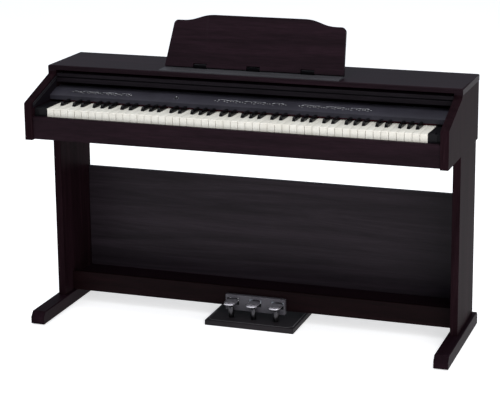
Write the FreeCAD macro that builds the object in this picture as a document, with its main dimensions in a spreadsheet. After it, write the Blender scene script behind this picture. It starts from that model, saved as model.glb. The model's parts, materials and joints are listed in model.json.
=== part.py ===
import FreeCAD, Part

import math
import os
import re

import Sketcher

# Digital piano on a stand.
# Row frame: X to the player's right, Y from the player to the back, Z up, all in millimetres.
# The origin is on the floor at the middle of the whole object's footprint.
# Heights are measured from the floor; depths in the sheet are measured from the cheeks' front plane.

V = FreeCAD.Vector
X_AXIS = V(1, 0, 0)
Y_AXIS = V(0, 1, 0)

SIZES = {
    # whole object
    "depth": 441,
    "board": 15,
    "edge_round": 3,
    "overcut": 1,
    # cabinet cheeks: upright side boards with a sloping top edge
    "cabinet_width": 1358,
    "cheek_thick": 26,
    "cheek_base": 617,
    "cheek_nose": 735.5,
    "cheek_slope_end": 180,
    "cheek_slope_top": 797,
    "cheek_round": 9,
    "cheek_soft": 1.5,
    "cabinet_back": 426,
    # top board, thicker over the cheeks
    "top_width": 1360,
    "top_front": 180,
    "top_back": 427,
    "top_height": 824.4,
    "top_thick": 15.4,
    "top_edge": 20,
    "top_round": 4,
    # key bed and key slip
    "bed_base": 620,
    "slip_front": 6,
    "slip_thick": 14,
    "slip_top": 692,
    # keys
    "key_front": 22.8,
    "key_top": 716.7,
    "key_height": 26,
    "key_rear": 211,
    "key_pitch": 23.5,
    "key_gap": 1,
    "head_length": 50,
    "head_overlap": 1,
    "stem_gap": 1,
    "stem_drop": 0.7,
    "black_width": 10.6,
    "black_crown": 8.6,
    "black_rise": 11.8,
    "black_end": 131,
    "black_slope": 6,
    "black_side_gap": 1.2,
    "white_count": 52,
    "key_pivot_depth": 204,
    "key_pivot_height": 704,
    "key_shaft_radius": 2.5,
    "running_gap": 0.05,
    # key blocks beside the keys
    "block_top": 717,
    "block_cap_top": 719.5,
    "block_cap_width": 21,
    "block_cap_length": 29,
    "block_rear": 131,
    "block_gap": 0.8,
    "block_groove": 1.2,
    "block_groove_pitch": 4,
    # chassis under the keys
    "frame_front": 40,
    "frame_back": 226,
    "frame_floor": 8,
    "frame_wall": 11,
    "frame_crest": 8,
    "guide_front": 62,
    "guide_back": 74,
    "guide_high": 34,
    "saddle_front": 88,
    "saddle_back": 136,
    "saddle_high": 36,
    "frame_end_front": 190,
    "frame_end_gap": 1,
    "frame_end_thick": 4,
    "contact_front": 96,
    "contact_width": 30,
    "contact_high": 11,
    "contact_inset": 4,
    # control panel: a lip, a sloping face with the controls and a flat rear strip
    "panel_front": 133,
    "lip_base": 723,
    "panel_low": 737,
    "panel_bend": 180,
    "panel_high": 752,
    "panel_rear": 215,
    "panel_rear_height": 755,
    "panel_thick": 3,
    "panel_fold_back": 0.5,
    "panel_fold_down": 2.2,
    "switch_board_drop": 9,
    "switch_board_width": 16,
    "switch_board_margin": 20,
    "spacer_radius": 2.5,
    "spacer_inset": 12,
    "spacer_offset": 40,
    "spacer_step": 24,
    "felt_base": 718.3,
    "felt_thick": 7,
    "felt_width": 4,
    # panel controls, placed up the sloping face
    "control_row": 28,
    "button_width": 8.4,
    "button_length": 3.8,
    "button_height": 5,
    "button_lift": 1.2,
    "button_gap": 0.35,
    "power_radius": 4,
    "power_x": -575,
    "round_hole_drop": 6,
    "knob_radius": 5.5,
    "knob_height": 4,
    "knob_clear": 0.4,
    "knob_stem": 5,
    "knob_x": -228,
    "left_start": -548,
    "left_pitch": 22.5,
    "left_count": 8,
    "centre_start": -88,
    "centre_pitch": 30,
    "centre_count": 8,
    "right_start": 186,
    "right_pitch": 26,
    "right_count": 9,
    # sliding key cover
    "cover_half": 640,
    "cover_top": 799,
    "cover_board": 7,
    "cover_front": 183,
    "cover_back": 392,
    "rail_depth": 13.5,
    "rail_base": 769,
    "rail_half": 651,
    "rail_groove_low": 784,
    "rail_groove_high": 788,
    "rail_groove_depth": 4,
    "cover_pivot_depth": 380,
    "cover_pivot_height": 786,
    "cover_shaft_radius": 4,
    "cover_shaft_inset": 3,
    "cover_bracket_inset": 20,
    "cover_bracket_long": 40,
    "cover_bracket_wide": 20,
    "cover_bracket_drop": 7,
    "channel_front": 198,
    "channel_back": 402,
    "channel_depth": 10,
    "channel_wall": 2,
    "channel_height": 16,
    "slider_length": 18,
    "slider_width": 7,
    "slide_gap": 0.3,
    # music rest
    "rest_half_base": 295.5,
    "rest_half_shoulder": 284,
    "rest_shoulder": 148.5,
    "rest_crest": 169.5,
    "rest_crest_half": 172,
    "rest_ogee_half": 232,
    "rest_thick": 12,
    "rest_drop": 5,
    "rest_tilt": 25.5,
    "rest_pivot_depth": 242,
    "rest_pivot_height": 835,
    "rest_corner": 14,
    "rest_curve": 130,
    "rest_hinge_pitch": 178,
    "rest_hinge_width": 44,
    "rest_hinge_radius": 4.5,
    "rest_notch_gap": 0.5,
    "rest_notch_rise": 3,
    "rest_pin_radius": 2,
    "rest_pin_reach": 12,
    "ledge_front": 184,
    "ledge_back": 231,
    "ledge_thick": 5,
    "ledge_half": 295.5,
    # wire prop behind the rest
    "prop_pivot_up": 60,
    "prop_offset": 7.8,
    "prop_length": 75,
    "prop_half": 110,
    "prop_radius": 1.5,
    "prop_angle": 37.4,
    "prop_tongue": 8,
    "clip_inset": 2.5,
    "clip_wide": 8,
    "clip_long": 10,
    "clip_wall": 0.2,
    # stand: leg boards, feet, rear board
    "leg_half": 675.3,
    "leg_thick": 24.2,
    "leg_front": 190,
    "leg_back": 417,
    "foot_inner": 641.6,
    "foot_outer": 687.1,
    "foot_front": 7,
    "foot_height": 44,
    "foot_nose": 26,
    "foot_nose_run": 15,
    "foot_tail": 34,
    "foot_tail_run": 10,
    "pad_radius": 14,
    "pad_thick": 4,
    "pad_inset": 30,
    "rear_board_base": 90,
    "rear_board_top": 437.5,
    "beam_front": 251.5,
    "beam_base": 45.8,
    "beam_top": 111,
    "notch_side": 5,
    "notch_top": 6,
    "shelf_base": 76,
    # angle brackets that bolt the key bed to the legs
    "bracket_front": 296,
    "bracket_length": 84,
    "bracket_leg": 40,
    "bracket_thick": 3,
    "bracket_hole_inset": 16,
    "wing_bolt_shift": 3,
    "wall_bolt_shift": 4,
    "bolt_radius": 3,
    "bolt_head": 6,
    "bolt_head_thick": 4,
    "bolt_reach": 10,
    # pedals and their box
    "pedal_pitch": 76,
    "pedal_front": 191,
    "pedal_width": 38,
    "pedal_top": 74,
    "pedal_thick": 9,
    "pedal_nose": 3,
    "pedal_neck": 60,
    "pedal_stem_width": 16,
    "pedal_stem_overlap": 6,
    "pedal_stem_tail": 9,
    "pedal_hub_wall": 4.5,
    "pedal_pivot_depth": 380,
    "pedal_pivot_height": 67,
    "pedal_shaft_radius": 4,
    "pedal_cover_front": 238,
    "pedal_cover_half": 101,
    "pedal_cover_base": 36,
    "pedal_cover_top": 88,
    "pedal_cover_wall": 2,
    "pedal_slot_width": 41,
    "pedal_slot_base": 54.5,
    "pedal_slot_top": 77,
    "pedal_base_half": 150,
    "pedal_base_front": 171,
    "pedal_base_back": 396,
    "pedal_base_thick": 18,
    "post_radius": 9,
    "post_depth": 222,
    "post_top": 53.5,
    "ear_thick": 3,
    "ear_half": 104,
    "ear_length": 30,
    # speakers in the key bed
    "speaker_x": 480,
    "speaker_depth": 318,
    "speaker_radius": 60,
    "speaker_hole": 52,
    "speaker_height": 52,
    "speaker_rim": 5,
    "speaker_cone_inset": 8,
    "speaker_magnet": 17,
    "grille_radius": 58,
    "grille_thick": 2,
    # circuit board, sockets
    "board_x": -120,
    "board_depth": 290,
    "circuit_length": 260,
    "circuit_width": 90,
    "circuit_thick": 1.6,
    "standoff": 8,
    "standoff_inset": 8,
    "standoff_radius": 3.5,
    "chip_start": 40,
    "chip_pitch": 70,
    "chip_back": 30,
    "chip_size": 26,
    "chip_thick": 3,
    "jack_x": -585,
    "jack_depth": 31,
    "jack_pitch": 22,
    "jack_radius": 3.2,
    "jack_barrel": 5.5,
    "jack_box": 16,
    "jack_box_wide": 17,
    "jack_length": 25,
    "plate_x": -330,
    "plate_half": 70,
    "plate_base": 660,
    "plate_high": 36,
    "plate_thick": 2,
    "plate_margin": 8,
    "socket_pitch": 36,
    "socket_wall": 3.5,
    "socket_front": 6,
    "socket_length": 18,
    "socket_bore_depth": 14,
    "inlet_radius": 2.9,
}

doc = FreeCAD.newDocument("digital_piano")
sheet = doc.addObject("Spreadsheet::Sheet", "dims")
for row, (alias, amount) in enumerate(SIZES.items(), start=1):
    sheet.set("A%d" % row, alias)
    sheet.set("B%d" % row, str(amount))
    sheet.setAlias("B%d" % row, alias)
doc.recompute()

NODES = []


def size(alias):
    """A driving dimension, read back from the sheet."""
    return float(sheet.get(alias))


def formula(text):
    """Turn 'top_width / 2' into an expression that reads the sheet."""
    return re.sub(r"[a-z][a-z_]+", lambda word: "dims." + word.group(0), str(text))


def bind(piece, **amounts):
    for name, text in amounts.items():
        piece.setExpression(name, formula(text))


def place(piece, x=0, y=None, z=0, rotation=None):
    """Set a turn, then bind the position; y is a depth behind the cheeks' front plane."""
    if rotation is not None:
        piece.Placement = FreeCAD.Placement(V(), rotation)
    piece.setExpression("Placement.Base.x", formula(x))
    if y is not None:
        piece.setExpression("Placement.Base.y", formula("(%s) - depth / 2" % y))
    piece.setExpression("Placement.Base.z", formula(z))


def node(piece, label):
    """Name a finished sub-part and put it on the list of parts to write."""
    piece.Label = label
    NODES.append(piece)
    return piece


def box(name, x, y, z, length, width, height, local=False):
    piece = doc.addObject("Part::Box", name)
    bind(piece, Length=length, Width=width, Height=height)
    place(piece, x, None if local else y, z)
    if local:
        piece.setExpression("Placement.Base.y", formula(y))
    return piece


ALONG = {
    "x": FreeCAD.Rotation(Y_AXIS, 90),
    "y": FreeCAD.Rotation(X_AXIS, -90),
    "z": FreeCAD.Rotation(),
}


def cylinder(name, axis, x, y, z, radius, height, local=False):
    piece = doc.addObject("Part::Cylinder", name)
    bind(piece, Radius=radius, Height=height)
    place(piece, x, None if local else y, z, ALONG[axis])
    if local:
        piece.setExpression("Placement.Base.y", formula(y))
    return piece


def fuse(name, pieces):
    result = doc.addObject("Part::MultiFuse", name)
    result.Shapes = pieces
    return result


def group(name, pieces):
    result = doc.addObject("Part::Compound", name)
    result.Links = pieces
    return result


def cut(name, base, tool):
    result = doc.addObject("Part::Cut", name)
    result.Base = base
    result.Tool = tool
    return result


def origin_plane(body, role):
    return next(item for item in body.Origin.OriginFeatures if item.Role == role)


def outline(body, name, role, points):
    """A closed sketch of straight edges whose corners are all bound to the sheet."""
    sketch = body.newObject("Sketcher::SketchObject", name)
    sketch.AttachmentSupport = (origin_plane(body, role), [""])
    sketch.MapMode = "FlatFace"
    count = len(points)
    seeds = []
    for corner in range(count):
        turn = 2 * math.pi * corner / count
        seeds.append(V(100 * math.cos(turn), 100 * math.sin(turn), 0))
    for corner in range(count):
        sketch.addGeometry(Part.LineSegment(seeds[corner], seeds[(corner + 1) % count]), False)
    for corner in range(count):
        sketch.addConstraint(Sketcher.Constraint("Coincident", corner, 2, (corner + 1) % count, 1))
    for corner, (across, up) in enumerate(points):
        seed_x, seed_y = seeds[corner].x, seeds[corner].y
        for kind, amount, seed in (("DistanceX", across, seed_x), ("DistanceY", up, seed_y)):
            index = sketch.addConstraint(Sketcher.Constraint(kind, -1, 1, corner, 1, seed))
            label = "%s_%d" % (kind, corner)
            sketch.renameConstraint(index, label)
            sketch.setExpression("Constraints." + label, formula(amount))
    return sketch


def slab(name, role, points, thick, middle=False):
    """A body made by padding an outline; the pad is centred on the plane when middle is set."""
    body = doc.addObject("PartDesign::Body", name)
    sketch = outline(body, name + "_outline", role, points)
    pad = body.newObject("PartDesign::Pad", name + "_pad")
    pad.Profile = sketch
    bind(pad, Length=thick)
    pad.Midplane = middle
    doc.recompute()
    return body


def round_edges(body, radius, chosen):
    """Fillet the body's edges that the test picks, from both ends of each edge."""
    base = body.Tip
    picks = []
    for index, edge in enumerate(base.Shape.Edges, start=1):
        ends = [vertex.Point for vertex in edge.Vertexes]
        if len(ends) == 2 and chosen(ends[0], ends[1]):
            picks.append("Edge%d" % index)
    fillet = body.newObject("PartDesign::Fillet", body.Name + "_round")
    fillet.Base = (base, picks)
    bind(fillet, Radius=radius)
    doc.recompute()
    return body


def near(first, second, tolerance=0.01):
    return abs(first - second) < tolerance


# ---------------------------------------------------------------- cabinet

def make_cheek(side):
    """One side board of the cabinet, with the slope that the key cover follows."""
    name = "%s_cheek" % side
    top = "top_height - top_edge"
    points = [
        ("0", "cheek_base"),
        ("0", "cheek_nose"),
        ("cheek_slope_end", "cheek_slope_top"),
        ("cheek_slope_end", top),
        ("cabinet_back", top),
        ("cabinet_back", "cheek_base"),
    ]
    body = slab(name, "YZ_Plane", points, "cheek_thick")
    nose = size("cheek_nose")
    round_edges(body, "cheek_round", lambda a, b: near(a.z, nose) and near(b.z, nose) and near(a.y, b.y))
    low = size("cheek_slope_top") - 1
    step = size("cheek_slope_end")
    round_edges(body, "cheek_soft", lambda a, b: near(a.x, b.x) and (
        min(a.z, b.z) < low and not near(a.y, step) or near(b.y, step) and a.y < step - 1))
    x = "-cabinet_width / 2" if side == "left" else "cabinet_width / 2 - cheek_thick"
    place(body, x, "0")
    return node(body, name)


def make_top_board():
    """The lid of the cabinet: a board that is thicker where it stands on the cheeks."""
    half = "top_width / 2"
    inner = "cabinet_width / 2 - cheek_thick"
    points = [
        ("-" + half, "-top_edge"),
        ("-" + half, "0"),
        (half, "0"),
        (half, "-top_edge"),
        (inner, "-top_edge"),
        (inner, "-top_thick"),
        ("-(%s)" % inner, "-top_thick"),
        ("-(%s)" % inner, "-top_edge"),
    ]
    body = slab("top_board", "XZ_Plane", points, "top_back - top_front")
    round_edges(body, "top_round", lambda a, b: near(a.z, 0) and near(b.z, 0))
    place(body, 0, "top_back", "top_height")
    return node(body, "top_board")


def make_key_bed():
    """The board under the keys, with a hole over each speaker grille and for the phone sockets."""
    inner = "cabinet_width / 2 - cheek_thick"
    front = "slip_front + slip_thick"
    plate = box("bed_blank", "-(%s)" % inner, front, "bed_base", "cabinet_width - 2 * cheek_thick",
                "cabinet_back - board - slip_front - slip_thick", "board")
    holes = []
    for side, sign in (("left", "-"), ("right", "")):
        holes.append(cylinder("bed_hole_" + side, "z", sign + "speaker_x", "speaker_depth",
                              "bed_base - overcut", "speaker_hole", "board + 2 * overcut"))
    for index in range(2):
        holes.append(cylinder("bed_socket_%d" % index, "z", "jack_x + %d * jack_pitch" % index, "jack_depth",
                              "bed_base - overcut", "jack_barrel", "board + 2 * overcut"))
    holes += bracket_bolts("bed_bolt", False)
    return node(cut("key_bed_cut", plate, group("bed_holes", holes)), "key_bed")


def make_key_slip():
    """The front rail below the keys, rounded along its top."""
    inner = "cabinet_width / 2 - cheek_thick"
    points = [
        ("0", "bed_base"),
        ("0", "slip_top"),
        ("slip_thick", "slip_top"),
        ("slip_thick", "bed_base"),
    ]
    body = slab("key_slip", "YZ_Plane", points, "cabinet_width - 2 * cheek_thick")
    top = size("slip_top")
    round_edges(body, "edge_round", lambda a, b: near(a.z, top) and near(b.z, top) and near(a.y, b.y))
    place(body, "-(%s)" % inner, "slip_front")
    return node(body, "key_slip")


def make_cabinet_back():
    """The rear panel between the cheeks, with a window for the socket plate."""
    inner = "cabinet_width / 2 - cheek_thick"
    plate = box("back_blank", "-(%s)" % inner, "cabinet_back - board", "bed_base",
                "cabinet_width - 2 * cheek_thick", "board", "top_height - top_thick - bed_base")
    window = box("back_window", "plate_x - plate_half + plate_margin", "cabinet_back - board - overcut",
                 "plate_base + plate_margin", "2 * (plate_half - plate_margin)", "board + 2 * overcut",
                 "plate_high - 2 * plate_margin")
    return node(cut("cabinet_back_cut", plate, window), "cabinet_back")


def make_key_blocks():
    """The two blocks beside the keys: a raised cap next to the keys, grooves on the face by the cheek."""
    inner = "(cabinet_width / 2 - cheek_thick)"
    keys_half = "white_count * key_pitch / 2"
    width = "%s - %s - block_gap" % (inner, keys_half)
    blocks = []
    for side, x, wall, sign in (("left", "-" + inner, "-" + inner, "+"),
                                ("right", keys_half + " + block_gap", inner, "-")):
        blank = box("block_blank_" + side, x, "key_front", "bed_base + board", width,
                    "block_rear - key_front", "block_top - bed_base - board")
        cap_x = "-%s - block_gap - block_cap_width" % keys_half if side == "left" else x
        cap = box("block_cap_" + side, cap_x, "key_front", "slip_top", "block_cap_width", "block_cap_length",
                  "block_cap_top - slip_top")
        grooves = []
        for index in range(3):
            grooves.append(box("block_groove_%s_%d" % (side, index),
                               "%s %s %d * block_groove_pitch - block_groove / 2" % (wall, sign, index + 1),
                               "key_front - overcut", "slip_top - overcut", "block_groove",
                               "block_groove + overcut", "block_top - slip_top + 2 * overcut"))
        solid = fuse("block_solid_" + side, [blank, cap])
        blocks.append(cut("block_" + side, solid, group("grooves_" + side, grooves)))
    return node(group("key_block_pair", blocks), "key_blocks")


# ---------------------------------------------------------------- keyboard

WHITE_NAMES = "CDEFGAB"
FIRST_NAME = WHITE_NAMES.index("A")
BLACK_AFTER = "CDFGA"
SHARP_SHARE = {"C": (1, 5, 0), "D": (3, 5, 0), "F": (1, 7, 3), "G": (3, 7, 3), "A": (5, 7, 3)}
MIDDLE_FIRST = 23
MIDDLE_LAST = 25


def key_name(index):
    return WHITE_NAMES[(FIRST_NAME + index) % 7]


def group_start(index):
    """The first white key of the run C-E or F-B that this white key belongs to."""
    name = WHITE_NAMES.index(key_name(index))
    return index - name if name < 3 else index - (name - 3)


def sharp_edges(index):
    """Left and right edges, in key pitches from the bass end, of the slot after a white key."""
    slot, shares, first = SHARP_SHARE[key_name(index)]
    run = 3 if shares == 5 else 4
    start = group_start(index)
    share = run / shares
    return start + slot * share, start + (slot + 1) * share


def key_x(pitches):
    """An expression for a place along the keyboard, in key pitches from the bass end."""
    return "(%.5f - white_count / 2) * key_pitch" % pitches


def make_white_key(index):
    """A white key: a full-width head and a tail cut back beside the black keys."""
    last = int(size("white_count")) - 1
    left, right = index, index + 1
    tail_left = "%s + key_gap / 2" % key_x(left)
    tail_right = "%s - key_gap / 2" % key_x(right)
    if index > 0 and key_name(index - 1) in BLACK_AFTER:
        tail_left = "%s - black_side_gap / 2" % key_x(sharp_edges(index - 1)[1])
    if index < last and key_name(index) in BLACK_AFTER:
        tail_right = "%s + black_side_gap / 2" % key_x(sharp_edges(index)[0])
    base = "key_top - key_height"
    head = box("head_%d" % index, "%s + key_gap / 2" % key_x(left), "key_front", base, "key_pitch - key_gap",
               "head_length", "key_height")
    tail = box("tail_%d" % index, tail_left, "key_front + head_length - head_overlap", base,
               "(%s) - (%s)" % (tail_right, tail_left), "key_rear - key_front - head_length + head_overlap",
               "key_height")
    return fuse("white_%d" % index, [head, tail])


def make_black_key(index):
    """The black key after a white key: a stem and a crown that narrows and slopes to the front."""
    left, right = sharp_edges(index)
    middle = key_x((left + right) / 2)
    front = "key_front + head_length + stem_gap"
    stem = box("stem_%d" % index, "%s - black_width / 2" % middle, front, "key_top - key_height",
               "black_width", "key_rear - (%s)" % front, "key_height - stem_drop")
    crown = doc.addObject("Part::Wedge", "crown_%d" % index)
    bind(crown, Xmin="-black_width / 2", Xmax="black_width / 2", Zmin="0", Zmax="black_end - (%s)" % front,
         Ymin="0", Ymax="black_rise + stem_drop", X2min="-black_crown / 2", X2max="black_crown / 2",
         Z2min="0", Z2max="black_end - (%s) - black_slope" % front)
    place(crown, middle, "black_end", "key_top - stem_drop", FreeCAD.Rotation(X_AXIS, 90))
    return fuse("black_%d" % index, [stem, crown])


def hook_on_shaft(name, keys, label):
    """Cut the pivot bore through a set of keys and make them a sub-part."""
    whole = group(name + "_keys", keys) if len(keys) > 1 else keys[0]
    bore = cylinder(name + "_bore", "x", "-cabinet_width / 2", "key_pivot_depth", "key_pivot_height",
                    "key_shaft_radius + running_gap", "cabinet_width")
    return node(cut(name + "_cut", whole, bore), label)


def make_keys():
    """The middle C, D and E with their two black keys move singly; the rest are four blocks of keys."""
    whites = int(size("white_count"))
    sharps = [index for index in range(whites - 1) if key_name(index) in BLACK_AFTER]
    spans = (("bass", 0, MIDDLE_FIRST), ("treble", MIDDLE_LAST + 1, whites))
    for side, first, end in spans:
        hook_on_shaft("white_" + side, [make_white_key(index) for index in range(first, end)],
                      "white_keys_" + side)
        if side == "treble":
            first = MIDDLE_LAST
        chosen = [index for index in sharps if first <= index < end]
        hook_on_shaft("black_" + side, [make_black_key(index) for index in chosen], "black_keys_" + side)
    for index in range(MIDDLE_FIRST, MIDDLE_LAST + 1):
        letter = key_name(index).lower()
        hook_on_shaft("middle_" + letter, [make_white_key(index)], "key_%s_middle" % letter)
        if index in sharps and index < MIDDLE_LAST:
            hook_on_shaft("middle_%s_sharp" % letter, [make_black_key(index)], "key_%s_sharp_middle" % letter)


def make_key_frame():
    """The moulded chassis: a guide rail, a saddle for the contacts and a rear wall between end plates."""
    floor = "bed_base + board"
    crest = "key_pivot_height + frame_crest"
    low = floor + " + frame_floor"
    inner_wall = "frame_back - frame_wall"
    points = [
        ("frame_front", floor),
        ("frame_back", floor),
        ("frame_back", crest),
        (inner_wall, crest),
        (inner_wall, low),
        ("saddle_back", low),
        ("saddle_back", floor + " + saddle_high"),
        ("saddle_front", floor + " + saddle_high"),
        ("saddle_front", low),
        ("guide_back", low),
        ("guide_back", floor + " + guide_high"),
        ("guide_front", floor + " + guide_high"),
        ("guide_front", low),
        ("frame_front", low),
    ]
    keys_half = "white_count * key_pitch / 2"
    reach = "%s + frame_end_gap + frame_end_thick" % keys_half
    body = slab("key_frame_bar", "YZ_Plane", points, "2 * (%s)" % keys_half, middle=True)
    place(body, 0, "0")
    deep = "frame_back - frame_end_front"
    plates = []
    for side, plate_x, foot_x in (
            ("left", "-(%s)" % reach, "-(%s)" % reach),
            ("right", keys_half + " + frame_end_gap", keys_half + " - frame_end_gap")):
        plates.append(box("frame_end_" + side, plate_x, "frame_end_front", floor, "frame_end_thick", deep,
                          "%s - (%s)" % (crest, floor)))
        plates.append(box("frame_foot_" + side, foot_x, "frame_end_front", floor,
                          "frame_end_thick + 2 * frame_end_gap", deep, "frame_floor"))
    blank = fuse("key_frame_blank", [body] + plates)
    bore = cylinder("frame_bore", "x", "-cabinet_width / 2", "key_pivot_depth", "key_pivot_height",
                    "key_shaft_radius", "cabinet_width")
    return node(cut("key_frame_cut", blank, bore), "key_frame")


def make_key_shaft():
    """The steel rod that every key turns on, carried by the chassis end plates."""
    half = "white_count * key_pitch / 2 + frame_end_gap + frame_end_thick"
    rod = cylinder("key_shaft_rod", "x", "-(%s)" % half, "key_pivot_depth", "key_pivot_height",
                   "key_shaft_radius", "2 * (%s)" % half)
    return node(rod, "key_shaft")


def make_contact_strip():
    """The rubber strip on the saddle under the keys that senses them."""
    half = "white_count * key_pitch / 2 - contact_inset"
    strip = box("contact_strip", "-(%s)" % half, "contact_front", "bed_base + board + saddle_high",
                "2 * (%s)" % half, "contact_width", "contact_high")
    return node(strip, "key_contact_strip")


# ---------------------------------------------------------------- control panel

def slope_turn():
    """The turn that lays a flat piece on the panel's sloping face."""
    rise = size("panel_high") - size("panel_low")
    run = size("panel_bend") - size("panel_front")
    return FreeCAD.Rotation(X_AXIS, math.degrees(math.atan2(rise, run)))


def lay_on_panel(piece):
    """Move a piece drawn flat, with Y up the slope from the lip and Z out of the face, onto the panel."""
    place(piece, 0, "panel_front", "panel_low", slope_turn())
    return piece


def button_row(name, start, pitch, count, spare="0", depth="button_height"):
    """A row of button caps, or with spare set the slightly larger holes that they move in."""
    caps = []
    for index in range(int(size(count))):
        x = "%s + %d * %s - button_width / 2 - %s" % (start, index, pitch, spare)
        caps.append(box("%s_%d" % (name, index), x, "control_row - button_length / 2 - " + spare,
                        "button_lift - (%s)" % depth, "button_width + 2 * " + spare,
                        "button_length + 2 * " + spare, depth, local=True))
    return group(name, caps)


ROWS = (("left", "left_start", "left_pitch", "left_count"),
        ("centre", "centre_start", "centre_pitch", "centre_count"),
        ("right", "right_start", "right_pitch", "right_count"))


def make_panel():
    """The folded control panel, with a hole for each button, the power button and the volume knob."""
    inner = "cabinet_width / 2 - cheek_thick"
    points = [
        ("panel_front", "lip_base"),
        ("panel_front", "panel_low"),
        ("panel_bend", "panel_high"),
        ("panel_rear", "panel_rear_height"),
        ("panel_rear", "panel_rear_height - panel_thick"),
        ("panel_bend + panel_fold_back", "panel_high - panel_thick"),
        ("panel_front + panel_thick", "panel_low - panel_fold_down"),
        ("panel_front + panel_thick", "lip_base"),
    ]
    body = slab("panel_sheet", "YZ_Plane", points, "2 * (%s)" % inner, middle=True)
    place(body, 0, "0")
    holes = []
    for side, start, pitch, count in ROWS:
        holes.append(button_row("hole_" + side, start, pitch, count, "button_gap",
                                "button_height + panel_thick"))
    for name, x, radius in (("hole_power", "power_x", "power_radius"),
                            ("hole_knob", "knob_x", "knob_radius / 2")):
        holes.append(cylinder(name, "z", x, "control_row", "-round_hole_drop", radius + " + button_gap",
                              "2 * round_hole_drop", local=True))
    tool = lay_on_panel(group("panel_holes", holes))
    return node(cut("control_panel_cut", body, tool), "control_panel")


def make_controls():
    """The caps that a player presses or turns."""
    for side, start, pitch, count in ROWS:
        node(lay_on_panel(button_row("caps_" + side, start, pitch, count)), side + "_buttons")
    power = cylinder("power_cap", "z", "power_x", "control_row", "button_lift - button_height",
                     "power_radius", "button_height", local=True)
    node(lay_on_panel(group("power_group", [power])), "power_button")
    stem = cylinder("knob_stem", "z", "knob_x", "control_row", "-knob_stem", "knob_radius / 2",
                    "knob_stem + knob_height", local=True)
    cap = cylinder("knob_cap", "z", "knob_x", "control_row", "knob_clear", "knob_radius", "knob_height",
                   local=True)
    node(lay_on_panel(fuse("knob_solid", [stem, cap])), "volume_knob")


def make_panel_board():
    """The switch board under the panel, hung on spacers between the rows of buttons."""
    left = "left_start - switch_board_margin"
    right = "right_start + right_count * right_pitch"
    pieces = [box("switch_board", left, "control_row - switch_board_width / 2", "-switch_board_drop",
                  "%s - (%s)" % (right, left), "switch_board_width", "circuit_thick", local=True)]
    for index, x in enumerate(("left_start - spacer_inset", "knob_x - spacer_offset",
                               "centre_start - spacer_offset", "right_start - spacer_step",
                               right + " - spacer_inset")):
        pieces.append(cylinder("spacer_%d" % index, "z", x, "control_row",
                               "circuit_thick - switch_board_drop", "spacer_radius",
                               "switch_board_drop - circuit_thick - panel_thick", local=True))
    return node(lay_on_panel(fuse("switch_board_solid", pieces)), "panel_board")


def make_felt():
    """The red felt strip behind the panel's lip that closes the gap above the keys."""
    half = "white_count * key_pitch / 2"
    strip = box("felt_strip", "-(%s)" % half, "panel_front + panel_thick", "felt_base",
                "2 * (%s)" % half, "felt_width", "felt_thick")
    return node(strip, "key_felt")


# ---------------------------------------------------------------- sliding key cover

def make_cover_board():
    """The flat board of the key cover."""
    board = box("cover_board_box", "-cover_half", "cover_front + rail_depth", "cover_top - cover_board",
                "2 * cover_half", "cover_back - cover_front - rail_depth", "cover_board")
    return node(board, "cover_board")


def make_cover_rail():
    """The front rail of the key cover, with the finger groove along its face."""
    points = [
        ("0", "rail_base"),
        ("0", "rail_groove_low"),
        ("rail_groove_depth", "rail_groove_low"),
        ("rail_groove_depth", "rail_groove_high"),
        ("0", "rail_groove_high"),
        ("0", "cover_top"),
        ("rail_depth", "cover_top"),
        ("rail_depth", "rail_base"),
    ]
    body = slab("cover_rail", "YZ_Plane", points, "2 * rail_half", middle=True)
    top = size("cover_top")
    low = size("rail_base")
    round_edges(body, "rail_groove_depth / 2", lambda a, b: near(a.y, 0) and near(b.y, 0) and near(a.z, b.z)
                and (near(a.z, top) or near(a.z, low)))
    place(body, 0, "cover_front")
    return node(body, "cover_front_rail")


def make_cover_brackets():
    """The two brackets under the cover that turn on the cross shaft."""
    pieces = []
    for side, x in (("left", "-cover_half + cover_bracket_inset"),
                    ("right", "cover_half - cover_bracket_inset - cover_bracket_long")):
        pieces.append(box("cover_bracket_" + side, x, "cover_pivot_depth - cover_bracket_wide / 2",
                          "cover_pivot_height - cover_bracket_drop", "cover_bracket_long",
                          "cover_bracket_wide",
                          "cover_top - cover_board - cover_pivot_height + cover_bracket_drop"))
    bore = cylinder("cover_bore", "x", "-cover_half", "cover_pivot_depth", "cover_pivot_height",
                    "cover_shaft_radius + running_gap", "2 * cover_half")
    return node(cut("cover_brackets_cut", group("cover_bracket_pair", pieces), bore), "cover_brackets")


def make_cover_carriage():
    """The cross shaft with the block at each end that slides in a side channel."""
    inner = "(cabinet_width / 2 - cheek_thick)"
    reach = "(%s - channel_wall - slide_gap)" % inner
    high = "(channel_height - 2 * channel_wall - 2 * slide_gap)"
    pieces = [cylinder("cover_shaft_rod", "x", "-%s + cover_shaft_inset" % reach, "cover_pivot_depth",
                       "cover_pivot_height", "cover_shaft_radius", "2 * (%s - cover_shaft_inset)" % reach)]
    for side, x in (("left", "-" + reach), ("right", reach + " - slider_width")):
        pieces.append(box("slide_block_" + side, x, "cover_pivot_depth - slider_length / 2",
                          "cover_pivot_height - %s / 2" % high, "slider_width", "slider_length", high))
    return node(fuse("cover_carriage_solid", pieces), "cover_carriage")


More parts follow.
